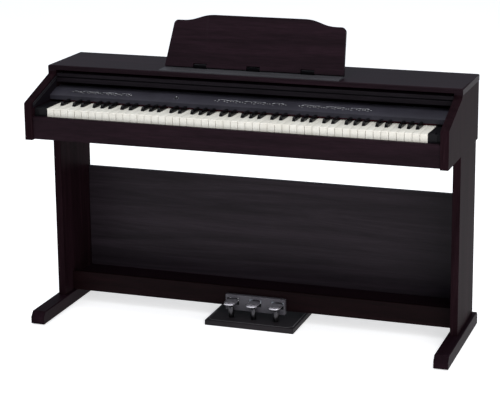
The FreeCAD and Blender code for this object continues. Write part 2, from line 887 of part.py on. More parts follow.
def make_channels():
    """The two aluminium channels on the cheeks that carry the slide blocks."""
    inner = "cabinet_width / 2 - cheek_thick"
    pieces = []
    for side, x in (("left", "-(%s)" % inner), ("right", "(%s) - channel_depth" % inner)):
        outer = box("channel_outer_" + side, x, "channel_front", "cover_pivot_height - channel_height / 2",
                    "channel_depth", "channel_back - channel_front", "channel_height")
        hollow_x = "-(%s) + channel_wall" % inner
        if side == "right":
            hollow_x = "(%s) - channel_depth - overcut" % inner
        hollow = box("channel_hollow_" + side, hollow_x, "channel_front - overcut",
                     "cover_pivot_height - channel_height / 2 + channel_wall",
                     "channel_depth - channel_wall + overcut", "channel_back - channel_front + 2 * overcut",
                     "channel_height - 2 * channel_wall")
        pieces.append(cut("channel_" + side, outer, hollow))
    return node(group("channels", pieces), "cover_channels")


# ---------------------------------------------------------------- music rest

def rest_turn():
    """The backward lean of the music rest."""
    return FreeCAD.Rotation(X_AXIS, -size("rest_tilt"))


HINGES = (-1, 0, 1)


def stand_at_hinge(piece):
    """Put a piece drawn upright about the rest's hinge line in its leaning place."""
    place(piece, 0, "rest_pivot_depth", "rest_pivot_height", rest_turn())
    return piece


def make_rest():
    """The music rest board: wide shoulders, a raised middle, and notches around the hinge blocks."""
    points = [
        ("-rest_half_base", "-rest_drop"),
        ("-rest_half_shoulder", "rest_shoulder"),
        ("-rest_ogee_half", "rest_shoulder"),
        ("-rest_crest_half", "rest_crest"),
        ("rest_crest_half", "rest_crest"),
        ("rest_ogee_half", "rest_shoulder"),
        ("rest_half_shoulder", "rest_shoulder"),
        ("rest_half_base", "-rest_drop"),
    ]
    body = slab("rest_board", "XZ_Plane", points, "rest_thick", middle=True)
    shoulder = size("rest_shoulder")
    crest = size("rest_crest")
    corner = size("rest_half_shoulder")
    ogee = size("rest_ogee_half")
    peak = size("rest_crest_half")
    round_edges(body, "rest_curve", lambda a, b: near(a.x, b.x) and near(a.z, b.z) and (
        near(abs(a.x), ogee) and near(a.z, shoulder) or near(abs(a.x), peak) and near(a.z, crest)))
    round_edges(body, "rest_corner", lambda a, b: near(abs(a.x), corner) and near(a.x, b.x)
                and near(a.z, b.z))
    cuts = []
    for index in HINGES:
        x = "%d * rest_hinge_pitch" % index
        cuts.append(box("rest_notch_%d" % index, "%s - rest_hinge_width / 2 - rest_notch_gap" % x,
                        "-rest_thick", "-2 * rest_drop", "rest_hinge_width + 2 * rest_notch_gap",
                        "2 * rest_thick", "2 * rest_drop + rest_hinge_radius + rest_notch_rise", local=True))
        cuts.append(cylinder("rest_bore_%d" % index, "x",
                             "%s - rest_hinge_width / 2 - rest_pin_reach - overcut" % x, "0", "0",
                             "rest_pin_radius + running_gap",
                             "rest_hinge_width + 2 * rest_pin_reach + 2 * overcut",
                             local=True))
    board = cut("music_rest_cut", body, group("rest_cuts", cuts))
    return node(stand_at_hinge(board), "music_rest")


def make_rest_hinges():
    """Three hinge blocks on the top board, each with a pin out of both sides."""
    hinges = []
    for index in HINGES:
        x = "%d * rest_hinge_pitch - rest_hinge_width / 2" % index
        barrel = cylinder("hinge_barrel_%d" % index, "x", x, "rest_pivot_depth", "rest_pivot_height",
                          "rest_hinge_radius", "rest_hinge_width")
        foot = box("hinge_foot_%d" % index, x, "rest_pivot_depth - rest_hinge_radius", "top_height",
                   "rest_hinge_width", "2 * rest_hinge_radius", "rest_pivot_height - top_height")
        pin = cylinder("hinge_pin_%d" % index, "x", x + " - rest_pin_reach", "rest_pivot_depth",
                       "rest_pivot_height", "rest_pin_radius", "rest_hinge_width + 2 * rest_pin_reach")
        hinges.append(fuse("hinge_%d" % index, [barrel, foot, pin]))
    return node(group("hinges", hinges), "rest_hinges")


def make_ledge():
    """The flat ledge in front of the rest that carries the foot of a book."""
    points = [
        ("0", "0"),
        ("0", "ledge_thick"),
        ("ledge_back - ledge_front", "ledge_thick"),
        ("ledge_back - ledge_front", "0"),
    ]
    body = slab("ledge", "YZ_Plane", points, "2 * ledge_half", middle=True)
    high = size("ledge_thick")
    round_edges(body, "ledge_thick / 2.5", lambda a, b: near(a.z, high) and near(b.z, high))
    place(body, 0, "ledge_front", "top_height")
    return node(body, "rest_ledge")


def make_prop():
    """The wire prop behind the rest: two legs, a foot bar, and pivot tongues turned inwards."""
    pieces = [cylinder("prop_bar", "x", "-prop_half", "0", "-prop_length", "prop_radius", "2 * prop_half",
                       local=True)]
    for side, x, start in (("left", "-prop_half", "-prop_half"),
                           ("right", "prop_half", "prop_half - prop_tongue")):
        pieces.append(cylinder("prop_leg_" + side, "z", x, "0", "-prop_length", "prop_radius", "prop_length",
                               local=True))
        pieces.append(cylinder("prop_tongue_" + side, "x", start, "0", "0", "prop_radius", "prop_tongue",
                               local=True))
        for end, z in (("top", "0"), ("foot", "-prop_length")):
            ball = doc.addObject("Part::Sphere", "prop_%s_%s" % (end, side))
            bind(ball, Radius="prop_radius")
            place(ball, x, None, z)
            pieces.append(ball)
    prop = fuse("prop_wire", pieces)
    lean = math.radians(size("rest_tilt"))
    up = size("prop_pivot_up")
    out = size("prop_offset")
    back = size("rest_pivot_depth") - size("depth") / 2 + up * math.sin(lean) + out * math.cos(lean)
    high = size("rest_pivot_height") + up * math.cos(lean) - out * math.sin(lean)
    turn = FreeCAD.Rotation(X_AXIS, size("prop_angle"))
    prop.Placement = FreeCAD.Placement(V(0, back, high), turn)
    return node(prop, "rest_prop")


def make_prop_clips():
    """Two clips on the back of the rest that hold the prop's tongues."""
    blocks = []
    bores = []
    for side, x in (("left", "-prop_half + clip_inset"), ("right", "prop_half - clip_inset - clip_wide")):
        blocks.append(box("prop_clip_" + side, x, "rest_thick / 2", "prop_pivot_up - clip_long / 2",
                          "clip_wide", "prop_offset + prop_radius + clip_wall - rest_thick / 2",
                          "clip_long", local=True))
        bores.append(cylinder("prop_clip_bore_" + side, "x", x + " - overcut", "prop_offset", "prop_pivot_up",
                              "prop_radius + running_gap", "clip_wide + 2 * overcut", local=True))
    clips = cut("prop_clips_cut", group("prop_clip_pair", blocks), group("prop_clip_bores", bores))
    return node(stand_at_hinge(clips), "rest_prop_clips")


# ---------------------------------------------------------------- stand

def make_leg(side):
    """A leg board between its foot and the cheek."""
    x = "-leg_half" if side == "left" else "leg_half - leg_thick"
    points = [
        ("0", "0"),
        ("leg_thick", "0"),
        ("leg_thick", "leg_back - leg_front"),
        ("0", "leg_back - leg_front"),
    ]
    name = "%s_leg" % side
    body = slab(name + "_board", "XY_Plane", points, "cheek_base - foot_height")
    round_edges(body, "cheek_soft", lambda a, b: near(a.x, b.x) and near(a.y, b.y))
    place(body, x, "leg_front", "foot_height")
    holes = group(name + "_holes", bracket_bolts(name + "_hole", False))
    return node(cut(name + "_cut", body, holes), name)


def make_foot(side):
    """A long foot with a sloping nose and tail."""
    name = "%s_foot" % side
    back = "depth - foot_front"
    points = [
        ("0", "pad_thick"),
        ("0", "foot_nose"),
        ("foot_nose_run", "foot_height"),
        ("%s - foot_tail_run" % back, "foot_height"),
        (back, "foot_tail"),
        (back, "pad_thick"),
    ]
    body = slab(name, "YZ_Plane", points, "foot_outer - foot_inner")
    high = size("foot_height")
    round_edges(body, "edge_round", lambda a, b: near(a.z, high) and near(b.z, high) and near(a.x, b.x))
    x = "-foot_outer" if side == "left" else "foot_inner"
    place(body, x, "foot_front")
    return node(body, name)


def make_foot_pads():
    """Round pads under both ends of each foot."""
    pads = []
    for side, sign in (("left", "-"), ("right", "")):
        for end, y in (("front", "foot_front + pad_inset"), ("back", "depth - pad_inset")):
            pads.append(cylinder("pad_%s_%s" % (side, end), "z", "%s(foot_inner + foot_outer) / 2" % sign,
                                 y, "0", "pad_radius", "pad_thick"))
    return node(group("pads", pads), "foot_pads")


def make_stand_boards():
    """The rear board, the pedal beam and the shelf that joins them, all between the legs."""
    half = "(leg_half - leg_thick)"
    rear = box("rear_board_box", "-" + half, "leg_back - board", "rear_board_base", "2 * " + half, "board",
               "rear_board_top - rear_board_base")
    node(rear, "rear_board")
    beam = box("beam_blank", "-" + half, "beam_front", "beam_base", "2 * " + half, "board",
               "beam_top - beam_base")
    notch = box("beam_notch", "-pedal_cover_half + notch_side", "beam_front - overcut", "beam_base - overcut",
                "2 * (pedal_cover_half - notch_side)", "board + 2 * overcut",
                "pedal_cover_top - notch_top - beam_base + overcut")
    node(cut("pedal_beam_cut", beam, notch), "pedal_beam")
    shelf = box("shelf_box", "-" + half, "beam_front + board", "shelf_base", "2 * " + half,
                "leg_back - beam_front - board", "rear_board_base - shelf_base")
    node(shelf, "beam_shelf")


def bracket_bolts(name, head):
    """Solids along the bolts of the angle brackets: the bolts, or the holes for them without a head."""
    half = "(leg_half - leg_thick)"
    seat = "bed_base - bracket_thick - bolt_head_thick"
    stem = "bracket_thick + bolt_head_thick + bolt_reach"
    leg_z = "bed_base - bracket_leg + bracket_hole_inset - wall_bolt_shift"
    depths = ("bracket_front + bracket_hole_inset", "bracket_front + bracket_length - bracket_hole_inset")
    solids = []
    for side, wall, sign in (("left", "-" + half, 1), ("right", half, -1)):
        up_x = "%s %+d * (bracket_leg - bracket_hole_inset + wing_bolt_shift)" % (wall, sign)
        side_x = wall + " - bolt_reach"
        head_x = wall + " + bracket_thick"
        if side == "right":
            side_x = wall + " - bracket_thick - bolt_head_thick"
            head_x = side_x
        for index, y in enumerate(depths):
            label = "%s_%s_%d" % (name, side, index)
            stems = [cylinder(label + "_up", "z", up_x, y, seat, "bolt_radius", stem),
                     cylinder(label + "_side", "x", side_x, y, leg_z, "bolt_radius", stem)]
            if head:
                heads = [cylinder(label + "_up_head", "z", up_x, y, seat, "bolt_head", "bolt_head_thick"),
                         cylinder(label + "_side_head", "x", head_x, y, leg_z, "bolt_head",
                                  "bolt_head_thick")]
                stems = [fuse("%s_bolt_%d" % (label, number), list(pair))
                         for number, pair in enumerate(zip(stems, heads))]
            solids += stems
    return solids


def make_brackets():
    """Steel angle brackets between the legs and the key bed, and their bolts."""
    half = "(leg_half - leg_thick)"
    angles = []
    for side, wall_x, wing_x in (("left", "-" + half, "-" + half),
                                 ("right", half + " - bracket_thick", half + " - bracket_leg")):
        wall = box("angle_wall_" + side, wall_x, "bracket_front", "bed_base - bracket_leg", "bracket_thick",
                   "bracket_length", "bracket_leg")
        wing = box("angle_wing_" + side, wing_x, "bracket_front", "bed_base - bracket_thick", "bracket_leg",
                   "bracket_length", "bracket_thick")
        angles.append(fuse("angle_" + side, [wall, wing]))
    holes = group("angle_holes", bracket_bolts("angle_hole", False))
    node(cut("leg_brackets_cut", group("angles", angles), holes), "leg_brackets")
    node(group("bolts", bracket_bolts("bolt", True)), "bracket_bolts")


# ---------------------------------------------------------------- pedals

PEDALS = (("soft", -1), ("sostenuto", 0), ("damper", 1))


def make_pedal(name, place_index):
    """A pedal lever: a rounded foot plate on a narrow stem that turns on the shaft."""
    body = slab(name + "_plate", "XY_Plane", [
        ("-pedal_width / 2", "0"),
        ("pedal_width / 2", "0"),
        ("pedal_width / 2", "pedal_neck"),
        ("-pedal_width / 2", "pedal_neck"),
    ], "pedal_thick")
    round_edges(body, "pedal_width / 2 - pedal_nose", lambda a, b: near(a.y, 0) and near(b.y, 0)
                and near(a.x, b.x))
    high = size("pedal_thick")
    round_edges(body, "pedal_thick / 4", lambda a, b: near(a.z, high) and near(b.z, high)
                and a.y < size("pedal_neck") - 1)
    x = "%d * pedal_pitch" % place_index
    place(body, x, "pedal_front", "pedal_top - pedal_thick")
    stem = box(name + "_stem", x + " - pedal_stem_width / 2", "pedal_front + pedal_neck - pedal_stem_overlap",
               "pedal_top - pedal_thick", "pedal_stem_width",
               "pedal_pivot_depth + pedal_stem_tail - pedal_front - pedal_neck + pedal_stem_overlap",
               "pedal_thick")
    hub = cylinder(name + "_hub", "x", x + " - pedal_stem_width / 2", "pedal_pivot_depth",
                   "pedal_pivot_height", "pedal_shaft_radius + pedal_hub_wall", "pedal_stem_width")
    blank = fuse(name + "_blank", [body, stem, hub])
    bore = cylinder(name + "_bore", "x", x + " - pedal_stem_width", "pedal_pivot_depth", "pedal_pivot_height",
                    "pedal_shaft_radius + running_gap", "2 * pedal_stem_width")
    return node(cut(name + "_cut", blank, bore), name + "_pedal")


def make_pedal_cover():
    """The metal cover around the pedals: an open-backed tray with a slot for each pedal."""
    deep = "beam_front - pedal_cover_front"
    outer = box("pedal_cover_outer", "-pedal_cover_half", "pedal_cover_front", "pedal_cover_base",
                "2 * pedal_cover_half", deep, "pedal_cover_top - pedal_cover_base")
    hollows = [box("pedal_cover_hollow", "-pedal_cover_half + pedal_cover_wall",
                   "pedal_cover_front + pedal_cover_wall", "pedal_cover_base + pedal_cover_wall",
                   "2 * (pedal_cover_half - pedal_cover_wall)", deep,
                   "pedal_cover_top - pedal_cover_base - 2 * pedal_cover_wall")]
    for name, place_index in PEDALS:
        hollows.append(box("pedal_slot_" + name, "%d * pedal_pitch - pedal_slot_width / 2" % place_index,
                           "pedal_cover_front - overcut", "pedal_slot_base", "pedal_slot_width",
                           "pedal_cover_wall + 2 * overcut", "pedal_slot_top - pedal_slot_base"))
    return node(cut("pedal_cover_cut", outer, group("pedal_cover_hollows", hollows)), "pedal_cover")


def make_pedal_base():
    """The board under the pedals, the posts that stop them, the pivot chassis and its shaft."""
    board = slab("pedal_base_board", "YZ_Plane", [
        ("0", "0"),
        ("0", "pedal_base_thick"),
        ("pedal_base_back - pedal_base_front", "pedal_base_thick"),
        ("pedal_base_back - pedal_base_front", "0"),
    ], "2 * pedal_base_half", middle=True)
    high = size("pedal_base_thick")
    round_edges(board, "edge_round", lambda a, b: near(a.z, high) and near(b.z, high))
    place(board, 0, "pedal_base_front")
    node(board, "pedal_base")
    posts = []
    for name, place_index in PEDALS:
        posts.append(cylinder("post_" + name, "z", "%d * pedal_pitch" % place_index, "post_depth",
                              "pedal_base_thick", "post_radius", "post_top - pedal_base_thick"))
    node(group("posts", posts), "pedal_stop_posts")
    floor = "pedal_base_thick"
    plate = box("chassis_plate", "-ear_half", "pedal_pivot_depth - ear_length / 2", floor, "2 * ear_half",
                "ear_length", "ear_thick")
    parts = [plate]
    for side, x in (("left", "-ear_half"), ("right", "ear_half - ear_thick")):
        parts.append(box("chassis_ear_" + side, x, "pedal_pivot_depth - ear_length / 2", floor, "ear_thick",
                         "ear_length", "shelf_base - pedal_base_thick"))
    bore = cylinder("chassis_bore", "x", "-ear_half - overcut", "pedal_pivot_depth", "pedal_pivot_height",
                    "pedal_shaft_radius", "2 * (ear_half + overcut)")
    node(cut("pedal_chassis_cut", fuse("chassis_blank", parts), bore), "pedal_chassis")
    shaft = cylinder("pedal_shaft_rod", "x", "-ear_half", "pedal_pivot_depth", "pedal_pivot_height",
                     "pedal_shaft_radius", "2 * ear_half")
    node(shaft, "pedal_shaft")


# ---------------------------------------------------------------- speakers, board and sockets

def make_speakers():
    """Two speakers on the key bed, each with a grille below it."""
    speakers = []
    grilles = []
    for side, sign in (("left", "-"), ("right", "")):
        x = sign + "speaker_x"
        top = "bed_base + board"
        rim = cylinder("speaker_rim_" + side, "z", x, "speaker_depth", top, "speaker_radius",
                       "speaker_rim")
        cone = doc.addObject("Part::Cone", "speaker_cone_" + side)
        bind(cone, Radius1="speaker_radius - speaker_cone_inset", Radius2="speaker_radius / 2.2",
             Height="speaker_height - speaker_magnet - speaker_rim")
        place(cone, x, "speaker_depth", top + " + speaker_rim")
        magnet = cylinder("speaker_magnet_" + side, "z", x, "speaker_depth",
                          top + " + speaker_height - speaker_magnet", "speaker_radius / 1.8",
                          "speaker_magnet")
        speakers.append(fuse("speaker_" + side, [rim, cone, magnet]))
        grilles.append(cylinder("grille_" + side, "z", x, "speaker_depth", "bed_base - grille_thick",
                                "grille_radius", "grille_thick"))
    node(group("speaker_pair", speakers), "speakers")
    node(group("grille_pair", grilles), "speaker_grilles")


def make_circuit_board():
    """The main circuit board on four stand-offs, with its larger parts."""
    top = "bed_base + board"
    plate = box("circuit_plate", "board_x", "board_depth", top + " + standoff", "circuit_length",
                "circuit_width", "circuit_thick")
    pieces = [plate]
    for index in range(4):
        x = "board_x + %s" % ("standoff_inset" if index % 2 == 0 else "circuit_length - standoff_inset")
        y = "board_depth + %s" % ("standoff_inset" if index < 2 else "circuit_width - standoff_inset")
        pieces.append(cylinder("standoff_%d" % index, "z", x, y, top, "standoff_radius", "standoff"))
    for index in range(3):
        pieces.append(box("chip_%d" % index, "board_x + chip_start + %d * chip_pitch" % index,
                          "board_depth + chip_back", top + " + standoff + circuit_thick", "chip_size",
                          "chip_size", "chip_thick"))
    return node(fuse("main_board_solid", pieces), "main_board")


def make_headphone_sockets():
    """Two headphone sockets in a small box on the key bed, with barrels down through it."""
    top = "bed_base + board"
    pieces = [box("socket_box", "jack_x - jack_pitch / 2", "jack_depth - jack_box_wide / 2", top,
                  "2 * jack_pitch", "jack_box_wide", "jack_box")]
    bores = []
    for index in range(2):
        x = "jack_x + %d * jack_pitch" % index
        pieces.append(cylinder("socket_barrel_%d" % index, "z", x, "jack_depth", "bed_base", "jack_barrel",
                               "board + 2 * overcut"))
        bores.append(cylinder("socket_bore_%d" % index, "z", x, "jack_depth", "bed_base - overcut",
                              "jack_radius", "jack_length + overcut"))
    body = cut("headphone_cut", fuse("headphone_blank", pieces), group("headphone_bores", bores))
    return node(body, "headphone_sockets")


def make_rear_sockets():
    """The rear plate with the round power inlet and two line sockets in a row."""
    face = "cabinet_back - board"
    middle = "plate_base + plate_high / 2"
    pieces = [box("plate_sheet", "plate_x - plate_half", face + " - plate_thick", "plate_base",
                  "2 * plate_half", "plate_thick", "plate_high")]
    bores = []
    for index, radius in enumerate(("inlet_radius", "jack_radius", "jack_radius")):
        x = "plate_x + %d * socket_pitch" % (index - 1)
        pieces.append(cylinder("rear_socket_%d" % index, "y", x, face + " + socket_front - socket_length",
                               middle, radius + " + socket_wall", "socket_length"))
        bores.append(cylinder("rear_bore_%d" % index, "y", x, face + " + socket_front - socket_bore_depth",
                              middle, radius, "socket_bore_depth + overcut"))
    body = cut("rear_sockets_cut", fuse("rear_sockets_blank", pieces), group("rear_bores", bores))
    return node(body, "rear_sockets")


# ---------------------------------------------------------------- build and write

def build():
    for side in ("left", "right"):
        make_cheek(side)
        make_leg(side)
        make_foot(side)
    make_top_board()
    make_key_bed()
    make_key_slip()
    make_cabinet_back()
    make_key_blocks()
    make_keys()
    make_key_frame()
    make_key_shaft()
    make_contact_strip()
    make_panel()
    make_controls()
    make_panel_board()
    make_felt()
    make_cover_board()
    make_cover_rail()
    make_cover_brackets()
    make_cover_carriage()
    make_channels()
    make_rest()
    make_rest_hinges()
    make_ledge()
    make_prop()
    make_prop_clips()
    make_foot_pads()
    make_stand_boards()
    make_brackets()
    for name, place_index in PEDALS:
        make_pedal(name, place_index)
    make_pedal_cover()
    make_pedal_base()
    make_speakers()
    make_circuit_board()
    make_headphone_sockets()
    make_rear_sockets()


def check_and_write():
    """Refuse a failed feature or a bad solid, then write one STEP file for each sub-part."""
    doc.recompute()
    for item in doc.Objects:
        if "Invalid" in item.State or "Error" in item.State:
            raise RuntimeError("failed feature: " + item.Name)
    for piece in NODES:
        if piece.Shape.isNull() or not piece.Shape.isValid():
            raise RuntimeError("bad shape: " + piece.Label)
    os.makedirs("parts", exist_ok=True)
    for piece in NODES:
        piece.Shape.exportStep("parts/%s.step" % piece.Label)
        bounds = piece.Shape.BoundBox
        print("%-22s solids %2d  x %8.1f %8.1f  y %8.1f %8.1f  z %8.1f %8.1f" % (
            piece.Label, len(piece.Shape.Solids), bounds.XMin, bounds.XMax, bounds.YMin, bounds.YMax,
            bounds.ZMin, bounds.ZMax))


build()
check_and_write()
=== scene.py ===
import json
import math
import random

import bmesh
import bpy
from mathutils import Matrix, Vector, noise


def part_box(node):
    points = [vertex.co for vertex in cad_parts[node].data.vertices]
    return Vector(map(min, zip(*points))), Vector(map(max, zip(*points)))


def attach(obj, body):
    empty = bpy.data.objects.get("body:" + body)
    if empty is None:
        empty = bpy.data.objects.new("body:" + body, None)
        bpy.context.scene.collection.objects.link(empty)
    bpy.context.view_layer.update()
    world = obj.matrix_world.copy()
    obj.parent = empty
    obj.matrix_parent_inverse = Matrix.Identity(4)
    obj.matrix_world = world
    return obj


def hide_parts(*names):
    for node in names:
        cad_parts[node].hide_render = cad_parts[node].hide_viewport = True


# Looks of a compact cabinet digital piano. Metres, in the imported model's frame:
# +X to the player's right, +Y from the player to the back, +Z up from the floor.

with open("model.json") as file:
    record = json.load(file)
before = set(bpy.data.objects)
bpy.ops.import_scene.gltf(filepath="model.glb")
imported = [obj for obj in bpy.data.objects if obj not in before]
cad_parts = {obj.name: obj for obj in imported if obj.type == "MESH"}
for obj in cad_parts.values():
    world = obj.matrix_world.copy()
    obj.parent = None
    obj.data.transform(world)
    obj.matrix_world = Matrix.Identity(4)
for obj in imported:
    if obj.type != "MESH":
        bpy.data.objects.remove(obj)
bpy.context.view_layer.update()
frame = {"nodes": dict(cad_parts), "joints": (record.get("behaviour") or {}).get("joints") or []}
NODES = frame["nodes"]
MM = 0.001

# ---------------------------------------------------------------- node helpers


class Shader:
    """Builds one procedural material around a Principled shader."""

    def __init__(self, name, **sockets):
        self.material = bpy.data.materials.new(name)
        self.material.use_nodes = True
        self.tree = self.material.node_tree
        self.shader = self.tree.nodes["Principled BSDF"]
        self.place = self.add("ShaderNodeTexCoord").outputs["Object"]
        for socket, amount in sockets.items():
            self.shader.inputs[socket.replace("_", " ")].default_value = amount

    def add(self, kind, **settings):
        made = self.tree.nodes.new(kind)
        for key, amount in settings.items():
            setattr(made, key, amount)
        return made

    def link(self, start, end):
        self.tree.links.new(start, end)

    def stretch(self, scale, turn=(0, 0, 0)):
        """Object coordinates scaled along each axis, for grain that runs one way."""
        mapping = self.add("ShaderNodeMapping")
        mapping.inputs["Scale"].default_value = scale
        mapping.inputs["Rotation"].default_value = turn
        self.link(self.place, mapping.inputs["Vector"])
        return mapping.outputs["Vector"]

    def noise(self, scale, detail=4, rough=0.55, where=None, distortion=0.0):
        made = self.add("ShaderNodeTexNoise")
        made.inputs["Scale"].default_value = scale
        made.inputs["Detail"].default_value = detail
        made.inputs["Roughness"].default_value = rough
        made.inputs["Distortion"].default_value = distortion
        self.link(where or self.place, made.inputs["Vector"])
        return made.outputs["Fac"]

    def ramp(self, fac, stops):
        """A colour ramp; stops are (place, grey or colour)."""
        made = self.add("ShaderNodeValToRGB")
        band = made.color_ramp
        while len(band.elements) < len(stops):
            band.elements.new(0.5)
        for element, (place, tone) in zip(band.elements, stops):
            element.position = place
            colour = (tone, tone, tone) if isinstance(tone, (int, float)) else tone
            element.color = (*colour, 1)
        self.link(fac, made.inputs["Fac"])
        return made.outputs["Color"]

    def mix(self, fac, first, second, blend="MIX"):
        made = self.add("ShaderNodeMix", data_type="RGBA", blend_type=blend)
        for socket, value in (("Factor", fac), ("A", first), ("B", second)):
            target = [item for item in made.inputs if item.name == socket and item.type in ("VALUE", "RGBA")]
            target = target[0] if socket == "Factor" else target[-1]
            if hasattr(value, "links"):
                self.link(value, target)
            elif socket == "Factor":
                target.default_value = value
            else:
                target.default_value = (*value, 1)
        return [item for item in made.outputs if item.type == "RGBA"][0]

    def colour(self, output):
        self.link(output, self.shader.inputs["Base Color"])

    def roughness(self, fac, low, high):
        span = self.add("ShaderNodeMapRange")
        span.inputs["To Min"].default_value = low
        span.inputs["To Max"].default_value = high
        self.link(fac, span.inputs["Value"])
        self.link(span.outputs["Result"], self.shader.inputs["Roughness"])

    def bump(self, fac, strength, distance):
        made = self.add("ShaderNodeBump")
        made.inputs["Strength"].default_value = strength
        made.inputs["Distance"].default_value = distance
        self.link(fac, made.inputs["Height"])
        self.link(made.outputs["Normal"], self.shader.inputs["Normal"])


ALONG = {"x": (0.05, 1, 1), "y": (1, 0.05, 1), "z": (1, 1, 0.05)}


def rosewood(name, axis, tone=(0.0108, 0.0046, 0.0074), level=0.05, rough=0.46,
             streak=0.8):
    """Dark rosewood foil: fine pores and broad darker figure running along one axis."""
    made = Shader("rosewood_" + name, Specular_IOR_Level=level)
    grain = made.stretch([90 * part for part in ALONG[axis]])
    figure = made.stretch([14 * part for part in ALONG[axis]])
    pores = made.noise(4.0, detail=5, rough=0.7, where=grain)
    bands = made.noise(1.6, detail=6, rough=0.6, where=figure, distortion=1.4)
    dark = made.ramp(bands, [(0.34, tuple(part * 0.68 for part in tone)), (0.5, tone),
                             (0.66, tuple(part * 1.4 for part in tone))])
    streaks = made.ramp(pores, [(0.42, (0.6, 0.56, 0.58)), (0.58, (1.0, 1.0, 1.0))])
    made.colour(made.mix(streak, dark, streaks, "MULTIPLY"))
    made.roughness(pores, rough - 0.05, rough + 0.07)
    made.bump(pores, 0.12, 0.0004)
    return made.material


def moulded(name, colour, rough=0.45, grain=1400, strength=0.15, level=0.35, **sockets):
    """Moulded plastic or paint with a fine grain and slight blotches of tone."""
    made = Shader(name, Specular_IOR_Level=level, **sockets)
    broad = made.noise(9, detail=3)
    lighter = tuple(min(1.0, part * 1.18 + 0.0008) for part in colour)
    darker = tuple(part * 0.84 for part in colour)
    made.colour(made.ramp(broad, [(0.35, darker), (0.65, lighter)]))
    fine = made.noise(grain, detail=2, rough=0.5)
    made.roughness(made.noise(38, detail=4), rough - 0.05, rough + 0.06)
    made.bump(fine, strength, 0.0002)
    return made.material


def metal(name, colour, rough=0.3, axis="x", scratch=0.25, **sockets):
    """Metal with fine brushing along one axis and cloudy handling marks."""
    made = Shader(name, Metallic=1.0, **sockets)
    brushed = made.noise(7, detail=6, rough=0.75, where=made.stretch([240 * part for part in ALONG[axis]]))
    cloud = made.noise(26, detail=5)
    low = tuple(part * 0.78 for part in colour)
    made.colour(made.mix(0.35, made.ramp(brushed, [(0.3, low), (0.7, colour)]),
                         made.ramp(cloud, [(0.35, low), (0.7, colour)])))
    made.roughness(cloud, rough * 0.75, rough * 1.35)
    made.bump(brushed, scratch, 0.0001)
    return made.material


def ivory():
    """White key plastic: warm, slightly uneven from key to key, with a soft gloss."""
    made = Shader("white_key_plastic", Specular_IOR_Level=0.4, Coat_Weight=0.12, Coat_Roughness=0.12)
    per_key = made.noise(1.0, detail=1, where=made.stretch((42, 0.6, 0.6)))
    haze = made.noise(60, detail=5)
    tone = made.ramp(per_key, [(0.3, (0.735, 0.705, 0.625)), (0.7, (0.79, 0.765, 0.69))])
    made.colour(made.mix(0.12, tone, made.ramp(haze, [(0.3, (0.66, 0.62, 0.54)), (0.7, (0.82, 0.80, 0.73))])))
    made.roughness(haze, 0.26, 0.36)
    made.bump(made.noise(900, detail=2), 0.03, 0.0001)
    return made.material


def felt():
    """Woven red felt: matted fibres with darker pits, its red kept far darker than the felt's own as painted
    shade from the panel's lip.
    """
    made = Shader("red_felt", Specular_IOR_Level=0.1, Sheen_Weight=0.25, Sheen_Roughness=0.5,
                  Sheen_Tint=(0.7, 0.2, 0.26, 1))
    fibres = made.noise(2600, detail=5, rough=0.8)
    clumps = made.noise(420, detail=3)
    # Painted shade: both ramps hold a red far darker than red felt, for the shadow under the panel's lip.
    made.colour(made.mix(0.5, made.ramp(fibres, [(0.3, (0.012, 0.0008, 0.002)), (0.7, (0.05, 0.003, 0.006))]),
                         made.ramp(clumps, [(0.3, (0.018, 0.0012, 0.003)), (0.7, (0.042, 0.0024, 0.006))])))
    made.roughness(clumps, 0.85, 0.98)
    made.bump(fibres, 0.8, 0.0006)
    return made.material


def rubber():
    made = Shader("rubber", Specular_IOR_Level=0.25)
    dust = made.noise(70, detail=6, rough=0.7)
    made.colour(made.ramp(dust, [(0.35, (0.012, 0.012, 0.013)), (0.75, (0.032, 0.031, 0.032))]))
    made.roughness(dust, 0.62, 0.82)
    made.bump(made.noise(700, detail=3), 0.3, 0.0003)
    return made.material


def circuit_board():
    """Green solder mask with paler traces in a square lattice."""
    made = Shader("circuit_board", Specular_IOR_Level=0.5)
    brick = made.add("ShaderNodeTexBrick")
    brick.inputs["Scale"].default_value = 60
    brick.inputs["Mortar Size"].default_value = 0.03
    brick.inputs["Color1"].default_value = (0.006, 0.045, 0.018, 1)
    brick.inputs["Color2"].default_value = (0.008, 0.06, 0.022, 1)
    brick.inputs["Mortar"].default_value = (0.02, 0.14, 0.05, 1)
    made.link(made.place, brick.inputs["Vector"])
    made.colour(brick.outputs["Color"])
    made.roughness(made.noise(120), 0.3, 0.5)
    made.bump(brick.outputs["Fac"], 0.2, 0.0001)
    return made.material


def cloth():
    """Black speaker cloth with a visible square weave."""
    made = Shader("speaker_cloth", Specular_IOR_Level=0.1, Sheen_Weight=0.2)
    across = made.add("ShaderNodeTexWave", wave_type="BANDS", bands_direction="X")
    along = made.add("ShaderNodeTexWave", wave_type="BANDS", bands_direction="Y")
    for wave in (across, along):
        wave.inputs["Scale"].default_value = 260
        wave.inputs["Distortion"].default_value = 0.6
        made.link(made.place, wave.inputs["Vector"])
    woven = made.mix(0.5, across.outputs["Color"], along.outputs["Color"])
    made.colour(made.ramp(woven, [(0.3, 0.004), (0.8, 0.03)]))
    made.roughness(made.noise(90), 0.8, 0.95)
    made.bump(woven, 0.6, 0.0003)
    return made.material


